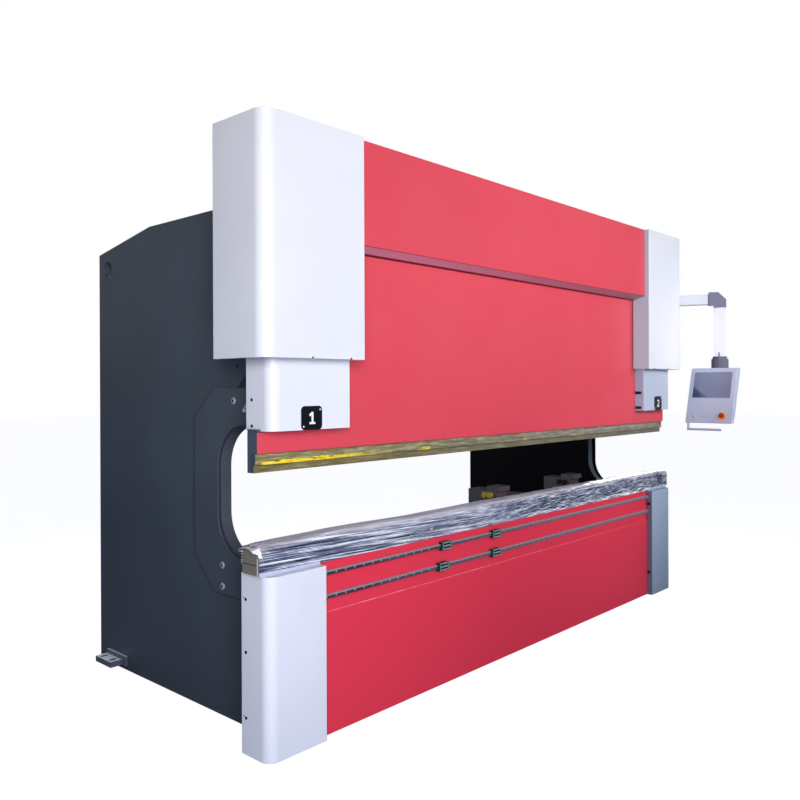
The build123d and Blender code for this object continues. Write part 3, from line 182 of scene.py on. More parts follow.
# %% [markdown]
# ## The floor
# A grey-blue plane that catches a soft shadow and throws little light up. It glows, but only
# towards the camera, so it melts into the white background. Its material, like all others here,
# starts from the main shader, which covers paint, plastic and metal alike.

# %% Floor
FLOOR_GLOW = 0.93


def material(name):
    """A new material: itself, its node tree and its main shader."""
    made = bpy.data.materials.new(name)
    made.use_nodes = True
    return made, made.node_tree, made.node_tree.nodes["Principled BSDF"]


floor_paint, tree, shader = material("white studio floor")
where = add(tree, "TexCoord", out="Object")
clouds = add(tree, "TexNoise", {"Vector": where, "Scale": 1 / 0.8})
shade = add(tree, "Mix", {0: clouds, 6: "#7F889C", 7: "#848DA0"}, **COLOURS)
to_camera = add(tree, "LightPath", out="Is Camera Ray")
glow = add(tree, "Math", [to_camera, FLOOR_GLOW], operation="MULTIPLY")
fill(tree, shader, {"Base Color": shade, "Roughness": 0.9, "Emission Color": "#FFFFFF",
                    "Emission Strength": glow})
floor_mesh = bpy.data.meshes.new("floor")
floor_mesh.from_pydata([(-40, -40, 0), (40, -40, 0), (40, 40, 0), (-40, 40, 0)], [],
                       [(0, 1, 2, 3)])
floor = bpy.data.objects.new("floor", floor_mesh)
floor_mesh.materials.append(floor_paint)
bpy.context.scene.collection.objects.link(floor)
print("floor is", [round(v) for v in floor.dimensions], "m")

# %% [markdown]
# ## What all paint shares
# Powder coat and stoved enamel are sprayed and baked. That leaves an orange peel, a fine wave
# about 2.2 mm long and 0.03 mm deep, clouds in the colour that are hardly seen, and a gloss
# that wanders a little. A few functions hold these, so each paint states only its own colours.
# Bump gives relief without more mesh, and a Bevel node under it makes the sharp edges of the
# solids catch light as a folded or ground edge does. Paint and plastic keep the shader's usual
# IOR of 1.5, which is typical of them.

# %% Paint patterns
PEEL_WAVE = 2.2
GLOSS_PATCH = 50


def relief(tree, height, depth, strength, edge=0.0):
    """Bump from a height; its depth and the radius that sharp edges seem to have are in mm."""
    inputs = {"Height": height, "Distance": depth * MM, "Strength": strength}
    if edge:
        inputs["Normal"] = add(tree, "Bevel", {"Radius": edge * MM}, samples=4)
    return add(tree, "Bump", inputs)


def cloudy(tree, where, base, other, size=350):
    """Two close tones of one colour, in soft clouds of a size in millimetres."""
    clouds = add(tree, "TexNoise", {"Vector": where, "Scale": 1 / (size * MM)})
    share = add(tree, "MapRange", [clouds, 0.35, 0.65])
    return add(tree, "Mix", {0: share, 6: base, 7: other}, **COLOURS)


def patchy_gloss(tree, where, roughness):
    """Roughness that wanders by 0.03 over patches as wide as a hand."""
    patches = add(tree, "TexNoise", {"Vector": where, "Scale": 1 / (GLOSS_PATCH * MM)})
    return add(tree, "MapRange", [patches, 0.3, 0.7, roughness - 0.03, roughness + 0.03])


def orange_peel(tree, where, edge, depth=0.03):
    """The fine wave of a sprayed or moulded skin; edge radius and depth are in millimetres."""
    wave = add(tree, "TexNoise", {"Vector": where, "Scale": 1 / (PEEL_WAVE * MM), "Detail": 1})
    return relief(tree, wave, depth, 0.6, edge)


def streaks(tree, size, detail=2.0, roughness=0.5, tilt=0.0):
    """Noise stretched to a length, depth and height in millimetres, tilted by some degrees."""
    where = add(tree, "TexCoord", out="Object")
    counted = add(tree, "Mapping", {"Vector": where, "Rotation": (0, math.radians(tilt), 0),
                                    "Scale": [s * MM for s in size]}, vector_type="TEXTURE")
    return add(tree, "TexNoise", {"Vector": counted, "Scale": 1, "Detail": detail,
                                  "Roughness": roughness})


print("orange peel", PEEL_WAVE, "mm, gloss patches", GLOSS_PATCH, "mm")

# %% [markdown]
# ## White powder coat
# The covers are folded sheet with a soft satin coat, which gives broad soft highlights. In the
# photo the covers at the right end read blue-grey low down, and their inner walls, which face
# the red beams, are greyer still. That shade is put in the coat by place and by facing.

# %% White powder coat on the covers
DIE_LEVEL, COVER_SPLIT = 1.0, 1.716
white_paint, tree, shader = material("white powder coat on folded sheet")
where = add(tree, "TexCoord", out="Object")
along = add(tree, "SeparateXYZ", [where], "X")
height = add(tree, "SeparateXYZ", [where], "Z")
facing = add(tree, "SeparateXYZ", [add(tree, "NewGeometry", out="True Normal")], "X")
inner_wall = add(tree, "Math", [facing, -0.7], operation="LESS_THAN")
on_table = add(tree, "Math", [height, DIE_LEVEL], operation="LESS_THAN")
on_ram = add(tree, "Math", [height, COVER_SPLIT], operation="LESS_THAN")
at_right = add(tree, "Math", [along, 1.4], operation="GREATER_THAN")
coat = cloudy(tree, where, "#E7E9F1", "#EBEDF4")
front = add(tree, "Mix", {0: on_ram, 6: coat, 7: "#BCC6D8"}, **COLOURS)
low_front = add(tree, "ValToRGB", [height], stops=[(0.0, "#8FA0B6"), (0.8, "#A9BBD0")])
front = add(tree, "Mix", {0: on_table, 6: front, 7: low_front}, **COLOURS)
inner = add(tree, "Mix", {0: on_ram, 6: "#C4DDE8", 7: "#AFC4DC"}, **COLOURS)
inner = add(tree, "Mix", {0: on_table, 6: inner, 7: "#6A7184"}, **COLOURS)
shaded = add(tree, "Mix", {0: inner_wall, 6: front, 7: inner}, **COLOURS)
coat = add(tree, "Mix", {0: at_right, 6: coat, 7: shaded}, **COLOURS)
fill(tree, shader, {"Base Color": coat, "Roughness": patchy_gloss(tree, where, 0.34),
                    "Normal": orange_peel(tree, where, 3)})
print("white coat nodes", len(tree.nodes))

# %% [markdown]
# ## Even skins
# The control box is powder coated in a light lilac grey. The black and grey plastics are
# moulded, with a satin face that keeps its colour in any light. All three are even, so one
# function makes them.

# %% Powder coat on the control box, black and grey plastic
def even_skin(name, base, other, roughness, edge, depth=0.03):
    """An even sprayed or moulded skin; edge radius and depth of its wave in millimetres."""
    made, tree, shader = material(name)
    where = add(tree, "TexCoord", out="Object")
    fill(tree, shader, {"Base Color": cloudy(tree, where, base, other),
                        "Roughness": patchy_gloss(tree, where, roughness),
                        "Normal": orange_peel(tree, where, edge, depth)})
    return made


lilac_paint = even_skin("light grey powder coat on the control box", "#C2C9E0", "#C8CDE2", 0.4, 3)
black_plastic = even_skin("black moulded plastic", "#0B0C12", "#101118", 0.4, 1, 0.02)
grey_plastic = even_skin("grey moulded plastic", "#646579", "#6D6E80", 0.45, 1)
print("even skins", lilac_paint.name, black_plastic.name, grey_plastic.name)

# %% [markdown]
# ## Slate enamel
# The frames are thick plate, sprayed slate grey. The enamel is smooth and half matt, so it shows
# only a soft sheen. It is painted darker near the floor as painted shade, and the right frame's
# inner face, hardly lit at all, is painted almost black as painted shade and mirrors little.

# %% Slate enamel on the frames
slate_paint, tree, shader = material("slate enamel on thick plate")
where = add(tree, "TexCoord", out="Object")
along = add(tree, "SeparateXYZ", [where], "X")
height = add(tree, "SeparateXYZ", [where], "Z")
facing = add(tree, "SeparateXYZ", [add(tree, "NewGeometry", out="True Normal")], "X")
slate = cloudy(tree, where, "#46515A", "#4A555F")
# painted shade: the slate is darkened towards the floor
floor_shade = add(tree, "MapRange", [height, 1.2, 0.0, 0.0, 0.6])
slate = add(tree, "Mix", {0: floor_shade, 6: slate, 7: "#333C47"}, **COLOURS)
# painted shade: the right frame's inner face, hardly lit, is painted almost black
inner_face = add(tree, "Math", [facing, -0.7], operation="LESS_THAN")
at_right = add(tree, "Math", [along, 1.5], operation="GREATER_THAN")
unlit = add(tree, "Math", [inner_face, at_right], operation="MULTIPLY")
slate = add(tree, "Mix", {0: unlit, 6: slate, 7: "#060709"}, **COLOURS)
fill(tree, shader, {"Base Color": slate, "Roughness": 0.42,
                    "Specular IOR Level": add(tree, "MapRange", [unlit, 0.0, 1.0, 0.5, 0.1]),
                    "Normal": orange_peel(tree, where, 3)})
print("slate nodes", len(tree.nodes))

# %% [markdown]
# ## Red enamel
# The ram, the table and the top panel are red in front, a glossy stoved enamel with soft
# mirror images. The table is painted a deeper red than the ram, darker to the right, as painted
# shade. A seam runs along the table, and its bright line that fades to the right is a painted
# highlight.

# %% Red of the beams with painted shade, and the painted highlight of the seam
SEAM_HEIGHT, SEAM_HALF = 0.5635, 1.5 * MM
red_paint, tree, shader = material("red enamel on the beams")
where = add(tree, "TexCoord", out="Object")
along = add(tree, "SeparateXYZ", [where], "X")
depth = add(tree, "SeparateXYZ", [where], "Y")
height = add(tree, "SeparateXYZ", [where], "Z")
red = cloudy(tree, where, "#DF4A58", "#E14E5B", 500)
# painted shade: the table takes a deeper red that darkens to the right
to_right = add(tree, "MapRange", [along, -1.4, 1.7])
deep = add(tree, "Mix", {0: to_right, 6: "#EC3B50", 7: "#E03950"}, **COLOURS)
on_table = add(tree, "MapRange", [height, 1.2, 0.8])
red = add(tree, "Mix", {0: on_table, 6: red, 7: deep}, **COLOURS)
# painted highlight: a bright line along the seam, broken in streaks and fading to the right
off_seam = add(tree, "Math", [height, SEAM_HEIGHT], operation="SUBTRACT")
off_seam = add(tree, "Math", [off_seam], operation="ABSOLUTE")
seam = add(tree, "Math", [off_seam, SEAM_HALF], operation="LESS_THAN")
mottled_highlight = add(tree, "MapRange", [streaks(tree, (50, 1000, 1000)), 0.4, 0.6, 0.35, 0.9])
fading = add(tree, "MapRange", [along, -1.4, 1.4, 1.0, 0.25])
seam = add(tree, "Math", [seam, mottled_highlight], operation="MULTIPLY")
seam = add(tree, "Math", [seam, fading], operation="MULTIPLY")
red = add(tree, "Mix", {0: seam, 6: red, 7: "#FF9CA6"}, **COLOURS)
print("red nodes so far", len(tree.nodes))

# %% [markdown]
# The underside of the front panel, between its folded edge and the face of the ram, is painted
# pink lilac grey as painted light bounced up from below, darker to the right as painted shade,
# with a dark line of painted shade on each side. The ends of the ram stay slate like the frames.
# Both are found by the way that a face looks.

# %% Underside of the front panel and the slate ends
normal = add(tree, "NewGeometry", out="True Normal")
sideways = add(tree, "Math", [add(tree, "SeparateXYZ", [normal], "X")], operation="ABSOLUTE")
is_end = add(tree, "Math", [sideways, 0.7], operation="GREATER_THAN")
# painted light and shade under the front panel: bounced pink lilac, darker to the right, dark
# lines at both sides
to_right = add(tree, "MapRange", [along, -1.0, 1.3])
under = add(tree, "Mix", {0: to_right, 6: "#E8A9C6", 7: "#B394A6"}, **COLOURS)
fold_shade = add(tree, "MapRange", [depth, -0.125, -0.129])
under = add(tree, "Mix", {0: fold_shade, 6: under, 7: "#7E1222"}, **COLOURS)
ram_corner_shade = add(tree, "MapRange", [depth, -0.062, -0.056])
under = add(tree, "Mix", {0: ram_corner_shade, 6: under, 7: "#4E0812"}, **COLOURS)
downward = add(tree, "SeparateXYZ", [normal], "Z")
downward = add(tree, "Math", [downward, -0.7], operation="LESS_THAN")
is_high = add(tree, "Math", [height, 2.0], operation="GREATER_THAN")
below = add(tree, "Math", [downward, is_high], operation="MULTIPLY")
red = add(tree, "Mix", {0: below, 6: red, 7: under}, **COLOURS)
red = add(tree, "Mix", {0: is_end, 6: red, 7: "#4A5663"}, **COLOURS)
fill(tree, shader, {"Base Color": red, "Roughness": 0.36,
                    "Normal": orange_peel(tree, where, 1.5)})
print("red nodes", len(tree.nodes))

# %% [markdown]
# ## The arm
# The arm is one solid with two finishes, white tubes and a grey elbow, both powder coated and
# satin. The elbow is what lies close to the axis of the drop tube and above its top.

# %% Powder coat on the arm
DROP_X, DROP_Y, ELBOW_LOW, ELBOW_REACH = 2.355, -0.355, 2.2145, 0.098
arm_paint, tree, shader = material("white and grey powder coat on the arm")
where = add(tree, "TexCoord", out="Object")
flat = add(tree, "VectorMath", [where, (1, 1, 0)], operation="MULTIPLY")
reach = add(tree, "VectorMath", [flat, (DROP_X, DROP_Y, 0)], "Value", operation="DISTANCE")
is_close = add(tree, "Math", [reach, ELBOW_REACH], operation="LESS_THAN")
height = add(tree, "SeparateXYZ", [where], "Z")
is_above = add(tree, "Math", [height, ELBOW_LOW], operation="GREATER_THAN")
elbow = add(tree, "Math", [is_close, is_above], operation="MULTIPLY")
coat = add(tree, "Mix", {0: elbow, 6: "#E3E5EE", 7: "#676685"}, **COLOURS)
fill(tree, shader, {"Base Color": coat, "Roughness": 0.38, "Normal": orange_peel(tree, where, 3)})
print("paints", len(bpy.data.materials))

# %% [markdown]
# ## Bare metal
# Ground and machined steel shows fine lines along its length, so its noise is stretched that
# way. The metals here are oiled, zinc plated, blackened or anodised, which hides most of their
# mirror, so they are only partly metallic and their colour carries the look. The chromed rods
# are the true mirror among them.

# %% Plain metals
def ground_metal(name, light, dark, roughness, size, metallic=0.3):
    """Machined metal with fine lines; size is a line's length, depth and height in mm."""
    made, tree, shader = material(name)
    lines = streaks(tree, size, 3, 0.6)
    where = add(tree, "TexCoord", out="Object")
    handled = add(tree, "TexNoise", {"Vector": where, "Scale": 1 / (90 * MM), "Detail": 3})
    share = add(tree, "MapRange", [lines, 0.3, 0.7])
    gloss = add(tree, "MapRange", [handled, 0.3, 0.7, roughness - 0.06, roughness + 0.08])
    fill(tree, shader, {"Base Color": add(tree, "Mix", {0: share, 6: dark, 7: light}, **COLOURS),
                        "Metallic": metallic, "Roughness": gloss,
                        "Normal": relief(tree, lines, 0.04, 0.5, 0.8)})
    return made


# Lines run along X on the long bars, along Z on the rods, and have no direction on small parts
ALONG_X, ALONG_Z = (500, 5.5556, 5.5556), (5.5556, 5.5556, 500)
machined = ground_metal("machined steel, lightly oiled", "#A39D8F", "#7C7668", 0.34, ALONG_X)
chrome = ground_metal("hard chrome on the rods", "#D8DADE", "#CCCED4", 0.12, ALONG_Z, 0.9)
bright = ground_metal("polished button metal", "#E8EAEE", "#D4D6DC", 0.22, [3.3333] * 3)
gauge_metal = ground_metal("dark anodised aluminium", "#63656B", "#4E5056", 0.38, ALONG_X)
carriage_steel = ground_metal("dark steel of the carriages", "#34363C", "#24262C", 0.4,
                              [16.6667] * 3, 0.2)
zinc = ground_metal("zinc plated screws", "#C9CBCE", "#A9ABB0", 0.3, [2.5] * 3)
dark_steel = ground_metal("blackened screws", "#2C2E34", "#1E2026", 0.45, [2.5] * 3)
print("materials", len(bpy.data.materials))

# %% [markdown]
# ## Feet
# The rear feet are steel angles with thick dull paint. Their tops are painted pale as a painted
# highlight, and their sides stay dark, so the colour follows the way a face looks.

# %% Painted feet
foot_steel, tree, shader = material("painted foot angle with a painted highlight on top")
where = add(tree, "TexCoord", out="Object")
upward = add(tree, "SeparateXYZ", [add(tree, "NewGeometry", out="True Normal")], "Z")
# painted highlight: upward faces are painted pale
is_top = add(tree, "MapRange", [upward, 0.5, 0.9])
top_mottle = add(tree, "TexNoise", {"Vector": where, "Scale": 1 / (20 * MM), "Detail": 3})
top_mottle = add(tree, "MapRange", [top_mottle, 0.3, 0.7])
mottled_highlight = add(tree, "Mix", {0: top_mottle, 6: "#E6ECF8", 7: "#D5DBE9"}, **COLOURS)
paint = add(tree, "Mix", {0: is_top, 6: "#585E70", 7: mottled_highlight}, **COLOURS)
grit = add(tree, "TexNoise", {"Vector": where, "Scale": 1 / (3 * MM)})
fill(tree, shader, {"Base Color": paint, "Roughness": 0.5,
                    "Normal": relief(tree, grit, 0.05, 0.6, 3)})
print("foot nodes", len(tree.nodes))

# %% [markdown]
# ## Linear rails
# The long rails are hardened and ground steel, a dull mirror. Their left half is painted dark and
# their right half light, a painted reflection of a dark room and a light one. Each rail is 20 mm
# high and they stand 108 mm apart, and the upper third of each gets a painted highlight.

# %% Rail steel
LOWER_RAIL_FOOT, RAIL_SPACING = 0.583, 0.108
rail_steel, tree, shader = material("ground hardened rail steel")
where = add(tree, "TexCoord", out="Object")
along = add(tree, "SeparateXYZ", [where], "X")
height = add(tree, "SeparateXYZ", [where], "Z")
lines = streaks(tree, (333.3333, 3.3333, 3.3333))
# painted reflection: dark at the left, light at the right
to_right = add(tree, "MapRange", [along, -1.3, 0.4])
tone = add(tree, "Mix", {0: to_right, 6: "#2F2A34", 7: "#8A7D88"}, **COLOURS)
# painted highlight on the upper third of each rail
rise = add(tree, "Math", [height, LOWER_RAIL_FOOT], operation="SUBTRACT")
rise = add(tree, "Math", [rise, RAIL_SPACING], operation="MODULO")
rise = add(tree, "Math", [rise, RAIL_SPACING / 2], operation="SUBTRACT")
top_highlight = add(tree, "MapRange", [rise, 3.5 * MM, 5.0 * MM])
tone = add(tree, "Mix", {0: top_highlight, 6: tone, 7: "#B3A8B2"}, **COLOURS)
fine = add(tree, "MapRange", [lines, 0.35, 0.65, 0.0, 0.3])
tone = add(tree, "Mix", {0: fine, 6: tone, 7: "#9C8E98"}, **COLOURS)
fill(tree, shader, {"Base Color": tone, "Metallic": 0.25, "Roughness": 0.4,
                    "Normal": relief(tree, lines, 0.03, 0.5, 1.2)})
print("rail nodes", len(tree.nodes))

# %% [markdown]
# ## The tool seat
# The bar under the ram is ground steel under a thin coat of amber grease, which turns it olive
# at the left, greyer to the right, and half hides its mirror. It has a step along its length,
# with dark lines of painted shadow at its upper edge and under the step, and a painted glint
# along its upper face. The band below the step is darker.

# %% Greased steel of the tool seat
clamp_steel, tree, shader = material("ground steel under amber grease")
where = add(tree, "TexCoord", out="Object")
along = add(tree, "SeparateXYZ", [where], "X")
height = add(tree, "SeparateXYZ", [where], "Z")
brushed = add(tree, "MapRange", [streaks(tree, (350, 4, 4), 3, 0.6), 0.35, 0.65, 0.0, 0.35])
patchy = streaks(tree, (120, 12, 12), 4, 0.65)
olive = add(tree, "ValToRGB", [patchy], stops=[
    (0.3, "#675C35"), (0.72, "#D0CA98"), (0.45, "#968B57"), (0.58, "#B5AE7C")])
grey = add(tree, "ValToRGB", [patchy], stops=[
    (0.3, "#7D776A"), (0.72, "#C2BFAE"), (0.5, "#A39E8E")])
to_right = add(tree, "MapRange", [along, -1.7, 0.6])
steel = add(tree, "Mix", {0: to_right, 6: olive, 7: grey}, **COLOURS)
steel = add(tree, "Mix", {0: brushed, 6: steel, 7: "#746B4A"}, **COLOURS)
lower = add(tree, "MapRange", [height, 1.2605, 1.2585])
darker_below = add(tree, "Math", [lower, 0.45], operation="MULTIPLY")
steel = add(tree, "Mix", {0: darker_below, 6: steel, 7: "#6B5F3A"}, **COLOURS)
# painted highlight: glints along the upper face
gleaming = add(tree, "MapRange", [patchy, 0.55, 0.7])
higher = add(tree, "MapRange", [height, 1.275, 1.295, 0.15, 0.75])
glint = add(tree, "Math", [gleaming, higher], operation="MULTIPLY")
steel = add(tree, "Mix", {0: glint, 6: steel, 7: "#D3CFA9"}, **COLOURS)
# painted shadow: dark lines at the upper edge and under the step
upper_shadow_line = add(tree, "MapRange", [height, 1.3035, 1.307])
step_shadow_line = add(tree, "MapRange", [height, 1.2645, 1.2612])
step_shadow_line = add(tree, "Math", [step_shadow_line, lower], operation="SUBTRACT")
rim = add(tree, "Math", [upper_shadow_line, step_shadow_line], operation="MAXIMUM")
rim = add(tree, "Math", [rim, 0.6], operation="MULTIPLY")
steel = add(tree, "Mix", {0: rim, 6: steel, 7: "#3B3319"}, **COLOURS)
print("tool seat nodes so far", len(tree.nodes))

# %% [markdown]
# Grease gathers on the step: thick at the left end, and in lumps further right. It is glossy and
# not metallic, so the same mask that brings its yellow also takes the steel's mirror away.

# %% Grease on the step
lumps = streaks(tree, (50, 20, 8), 3)
top_line = add(tree, "MapRange", [lumps, 0.3, 0.7, 1.266, 1.285])
under = add(tree, "Math", [top_line, height], operation="SUBTRACT")
under = add(tree, "MapRange", [under, 0.0, 0.002])
left_start = add(tree, "MapRange", [along, -1.975, -1.955])
left_end = add(tree, "MapRange", [along, -1.1, -1.6, 0.0, 1.1])
thick = add(tree, "Math", [left_start, left_end], operation="MULTIPLY")
spots = add(tree, "MapRange", [streaks(tree, (90, 50, 50)), 0.56, 0.62])
fewer = add(tree, "MapRange", [along, 1.2, -0.6, 0.15, 0.75])
spots = add(tree, "Math", [spots, fewer], operation="MULTIPLY")
grease = add(tree, "Math", [thick, spots], operation="MAXIMUM")
grease = add(tree, "Math", [grease, under], operation="MULTIPLY")
above_step = add(tree, "Math", [1.0, lower], operation="SUBTRACT")
grease = add(tree, "Math", [grease, above_step], operation="MULTIPLY")
amber = add(tree, "ValToRGB", [lumps], stops=[
    (0.3, "#D9A200"), (0.7, "#FFF672"), (0.5, "#FFE212")])
sideways = add(tree, "SeparateXYZ", [add(tree, "NewGeometry", out="True Normal")], "X")
sideways = add(tree, "Math", [sideways], operation="ABSOLUTE")
is_end = add(tree, "Math", [sideways, 0.7], operation="GREATER_THAN")
skin = add(tree, "Mix", {0: grease, 6: steel, 7: amber}, **COLOURS)
skin = add(tree, "Mix", {0: is_end, 6: skin, 7: "#4A5663"}, **COLOURS)
raised = add(tree, "Math", [patchy, grease], operation="ADD")
fill(tree, shader, {"Base Color": skin, "Coat Weight": grease,
                    "Metallic": add(tree, "MapRange", [grease, 0.0, 1.0, 0.25, 0.0]),
                    "Roughness": add(tree, "MapRange", [grease, 0.0, 1.0, 0.4, 0.16]),
                    "Normal": relief(tree, raised, 1.5, 0.5, 1)})
print("tool seat nodes", len(tree.nodes))

# %% [markdown]
# ## Coloured plastics
# End caps, buttons and knobs are moulded. Their grain of about 1.2 mm breaks up the highlight a
# little, and the buttons are glossier than the knobs.

# %% Coloured plastics
def plastic(name, base, shade, roughness):
    """Moulded plastic with a fine grain."""
    made, tree, shader = material(name)
    where = add(tree, "TexCoord", out="Object")
    grain = add(tree, "TexNoise", {"Vector": where, "Scale": 1 / (1.2 * MM), "Detail": 1})
    share = add(tree, "MapRange", [grain, 0.3, 0.7])
    fill(tree, shader, {"Base Color": add(tree, "Mix", {0: share, 6: base, 7: shade}, **COLOURS),
                        "Roughness": roughness, "Normal": relief(tree, grain, 0.02, 0.5, 1)})
    return made


green_plastic = plastic("green end cap plastic", "#2C9A7E", "#33A588", 0.32)
stop_red = plastic("red stop button plastic", "#B8200F", "#C2281A", 0.28)
stop_yellow = plastic("yellow collar plastic", "#F0B32C", "#F4BC3A", 0.35)
knob_yellow = plastic("yellow knob plastic", "#A59A2C", "#B3A838", 0.4)
ink = plastic("white ink", "#F2F4F8", "#FFFFFF", 0.5)
print("materials", len(bpy.data.materials))

# %% [markdown]
# ## Display glass
# The display is off. Its smooth glass is coloured with a painted reflection of a light hall, and
# a dark corner beyond a slanted edge. Generated coordinates run from 0 to 1 over the glass, so
# the edge keeps its place there.

# %% Display glass
glass, tree, shader = material("display glass")
across = add(tree, "TexCoord", out="Generated")
slope = add(tree, "Math", [add(tree, "SeparateXYZ", [across], "Y"),
                           add(tree, "SeparateXYZ", [across], "Z")], operation="SUBTRACT")
slope = add(tree, "MapRange", [slope, -0.9, 0.9])
# painted reflection of a light hall and a dark corner
mirrored = add(tree, "ValToRGB", [slope], stops=[
    (0.0, "#838CA8"), (0.79, "#757E9C"), (0.84, "#4F597C"), (1.0, "#424C6E")])
fill(tree, shader, {"Base Color": mirrored, "Roughness": 0.08, "Coat Weight": 0.6})
print("glass nodes", len(tree.nodes))

# %% [markdown]
# ## Stretch film, its creases
# The film is clear plastic, but many crinkled layers over oiled steel read as opaque. The eye
# gets long streaks, dark where a crease mirrors the room and white where it mirrors a lamp, and
# those dark and white streaks are painted reflections in its colour. At the left they are long
# folds, at the right short ripples, each with finer ones on top. Each size below is a crease's
# length, depth and height in millimetres.

# %% Creases of the film
film_skin, tree, shader = material("crinkled stretch film over steel")
folds = streaks(tree, (500, 28, 8), 3, 0.6, 1.6)
threads = streaks(tree, (250, 10, 4), 2, 0.5, 2.4)
ripples = streaks(tree, (110, 16, 6.5), 3, 0.62, -4)
cross = streaks(tree, (60, 12, 7), 2, 0.6, 7)
hatch = streaks(tree, (100, 20, 6), 1, 0.5, 24)
lumps = streaks(tree, (300, 60, 35), 3, 0.6)
where = add(tree, "TexCoord", out="Object")
along = add(tree, "SeparateXYZ", [where], "X")
height = add(tree, "SeparateXYZ", [where], "Z")
rightward = add(tree, "MapRange", [along, -1.0, 0.4])
left_wave = add(tree, "Math", [add(tree, "Math", [folds, 0.68], operation="MULTIPLY"),
                               add(tree, "Math", [threads, 0.32], operation="MULTIPLY")])
right_wave = add(tree, "Math", [add(tree, "Math", [ripples, 0.66], operation="MULTIPLY"),
                                add(tree, "Math", [cross, 0.34], operation="MULTIPLY")])
wave = add(tree, "Mix", {0: rightward, 2: left_wave, 3: right_wave}, data_type="FLOAT")
print("crease nodes", len(tree.nodes))

# %% [markdown]
# ## Stretch film, its light and dark
# The wave becomes a tone of painted reflection, from 0, a dark mirror, to 1, a white one. It gets
# more contrast, and then painted light: lighter in the middle, along sharp creases, on slanted
# ones at the left, in broad lumps and along the hem at the right. A sharp crease is where a noise
# crosses the middle of its range.

# %% Tone of the film
# painted reflection: the wave becomes a tone from a dark mirror to a white one
tone = add(tree, "Math", [wave, 0.5], operation="SUBTRACT")
tone = add(tree, "Math", [tone, 3.9], operation="MULTIPLY")
general = add(tree, "MapRange", [rightward, 0.0, 1.0, 0.42, 0.44])
middle = add(tree, "Math", [add(tree, "MapRange", [along, -1.7, -1.2]),
                            add(tree, "MapRange", [along, 0.3, -0.5])], operation="MULTIPLY")
sharp = add(tree, "Math", [threads, 0.5], operation="SUBTRACT")
sharp = add(tree, "Math", [sharp], operation="ABSOLUTE")
sharp = add(tree, "MapRange", [sharp, 0.035, 0.0])
slant = add(tree, "Math", [add(tree, "MapRange", [hatch, 0.52, 0.62]),
                           add(tree, "MapRange", [along, -1.2, -1.7])], operation="MULTIPLY")
broad = add(tree, "MapRange", [lumps, 0.3, 0.7, -0.12, 0.12])
hem = add(tree, "Math", [add(tree, "MapRange", [height, 0.816, 0.804]), rightward],
          operation="MULTIPLY")
# painted light: lighter in the middle, along sharp and slanted creases, in lumps and at the hem
for part, share in ((general, 1), (middle, 0.12), (sharp, 0.20), (slant, 0.14), (broad, 1),
                    (hem, 0.28)):
    if share != 1:
        part = add(tree, "Math", [part, share], operation="MULTIPLY")
    tone = add(tree, "Math", [tone, part])
print("film nodes so far", len(tree.nodes))

# %% [markdown]
# ## Stretch film, its colours
# The side is painted from blue-black to white, and the top, which mirrors the roof, a pale warm
# grey: both are painted reflections. At the upper left corner the film is a white crumple, a
# painted highlight, and a few green-yellow drops of oil are caught under it near the left.

# %% Colours of the film
# painted reflection on the side, blue-black to white
side_reflection = add(tree, "ValToRGB", [tone], stops=[
    (0.02, "#1E2434"), (0.98, "#FFFFFF"), (0.22, "#3A4258"), (0.42, "#626A80"),
    (0.60, "#9198AB"), (0.78, "#CBCFDC")])
calmer = add(tree, "Math", [tone, 0.50], operation="MULTIPLY")
calmer = add(tree, "Math", [calmer, 0.42])
# painted reflection of the roof on the top
top_reflection = add(tree, "ValToRGB", [calmer], stops=[
    (0.08, "#66626E"), (0.9, "#F2EFF6"), (0.3, "#A19BA8"), (0.5, "#C9C4CF")])
upward = add(tree, "SeparateXYZ", [add(tree, "NewGeometry", out="True Normal")], "Z")
is_top = add(tree, "MapRange", [upward, 0.25, 0.85])
skin = add(tree, "Mix", {0: is_top, 6: side_reflection, 7: top_reflection}, **COLOURS)
# painted highlight: the white crumple at the upper left corner
ragged = add(tree, "TexNoise", {"Vector": where, "Scale": 1 / (20 * MM)})
ragged = add(tree, "Math", [ragged, 0.05], operation="MULTIPLY")
left_edge = add(tree, "Math", [along, ragged])
left_edge = add(tree, "MapRange", [left_edge, -1.968, -1.972])
outward = add(tree, "SeparateXYZ", [where], "Y")
in_front = add(tree, "Math", [outward, -0.045], operation="LESS_THAN")
crumple = add(tree, "Math", [left_edge, in_front], operation="MULTIPLY")
high_edge = add(tree, "Math", [height, ragged], operation="SUBTRACT")
high_edge = add(tree, "MapRange", [high_edge, 0.842, 0.850])
crumple = add(tree, "Math", [crumple, high_edge], operation="MULTIPLY")
skin = add(tree, "Mix", {0: crumple, 6: skin, 7: "#FFFFFF"}, **COLOURS)
drops = add(tree, "MapRange", [streaks(tree, (30, 10, 6), 1), 0.63, 0.68])
is_low = add(tree, "Math", [height, 0.85], operation="LESS_THAN")
from_drops = add(tree, "Math", [along, 0.98])
from_drops = add(tree, "Math", [from_drops], operation="ABSOLUTE")
near_drops = add(tree, "Math", [from_drops, 0.13], operation="LESS_THAN")
near_drops = add(tree, "Math", [is_low, near_drops], operation="MULTIPLY")
drops = add(tree, "Math", [drops, near_drops], operation="MULTIPLY")
skin = add(tree, "Mix", {0: drops, 6: skin, 7: "#D8DA8C"}, **COLOURS)
fill(tree, shader, {"Base Color": skin, "Coat Weight": 0.35, "Coat Roughness": 0.1,
                    "Roughness": add(tree, "MapRange", [lumps, 0.3, 0.7, 0.2, 0.36]),
                    "Normal": relief(tree, wave, 3, 0.7)})
print("film nodes", len(tree.nodes))

# %% [markdown]
# ## Every solid gets its finish
# The record names a finish slot for each node, so one table does the dressing. A few nodes have
# a finish of their own.

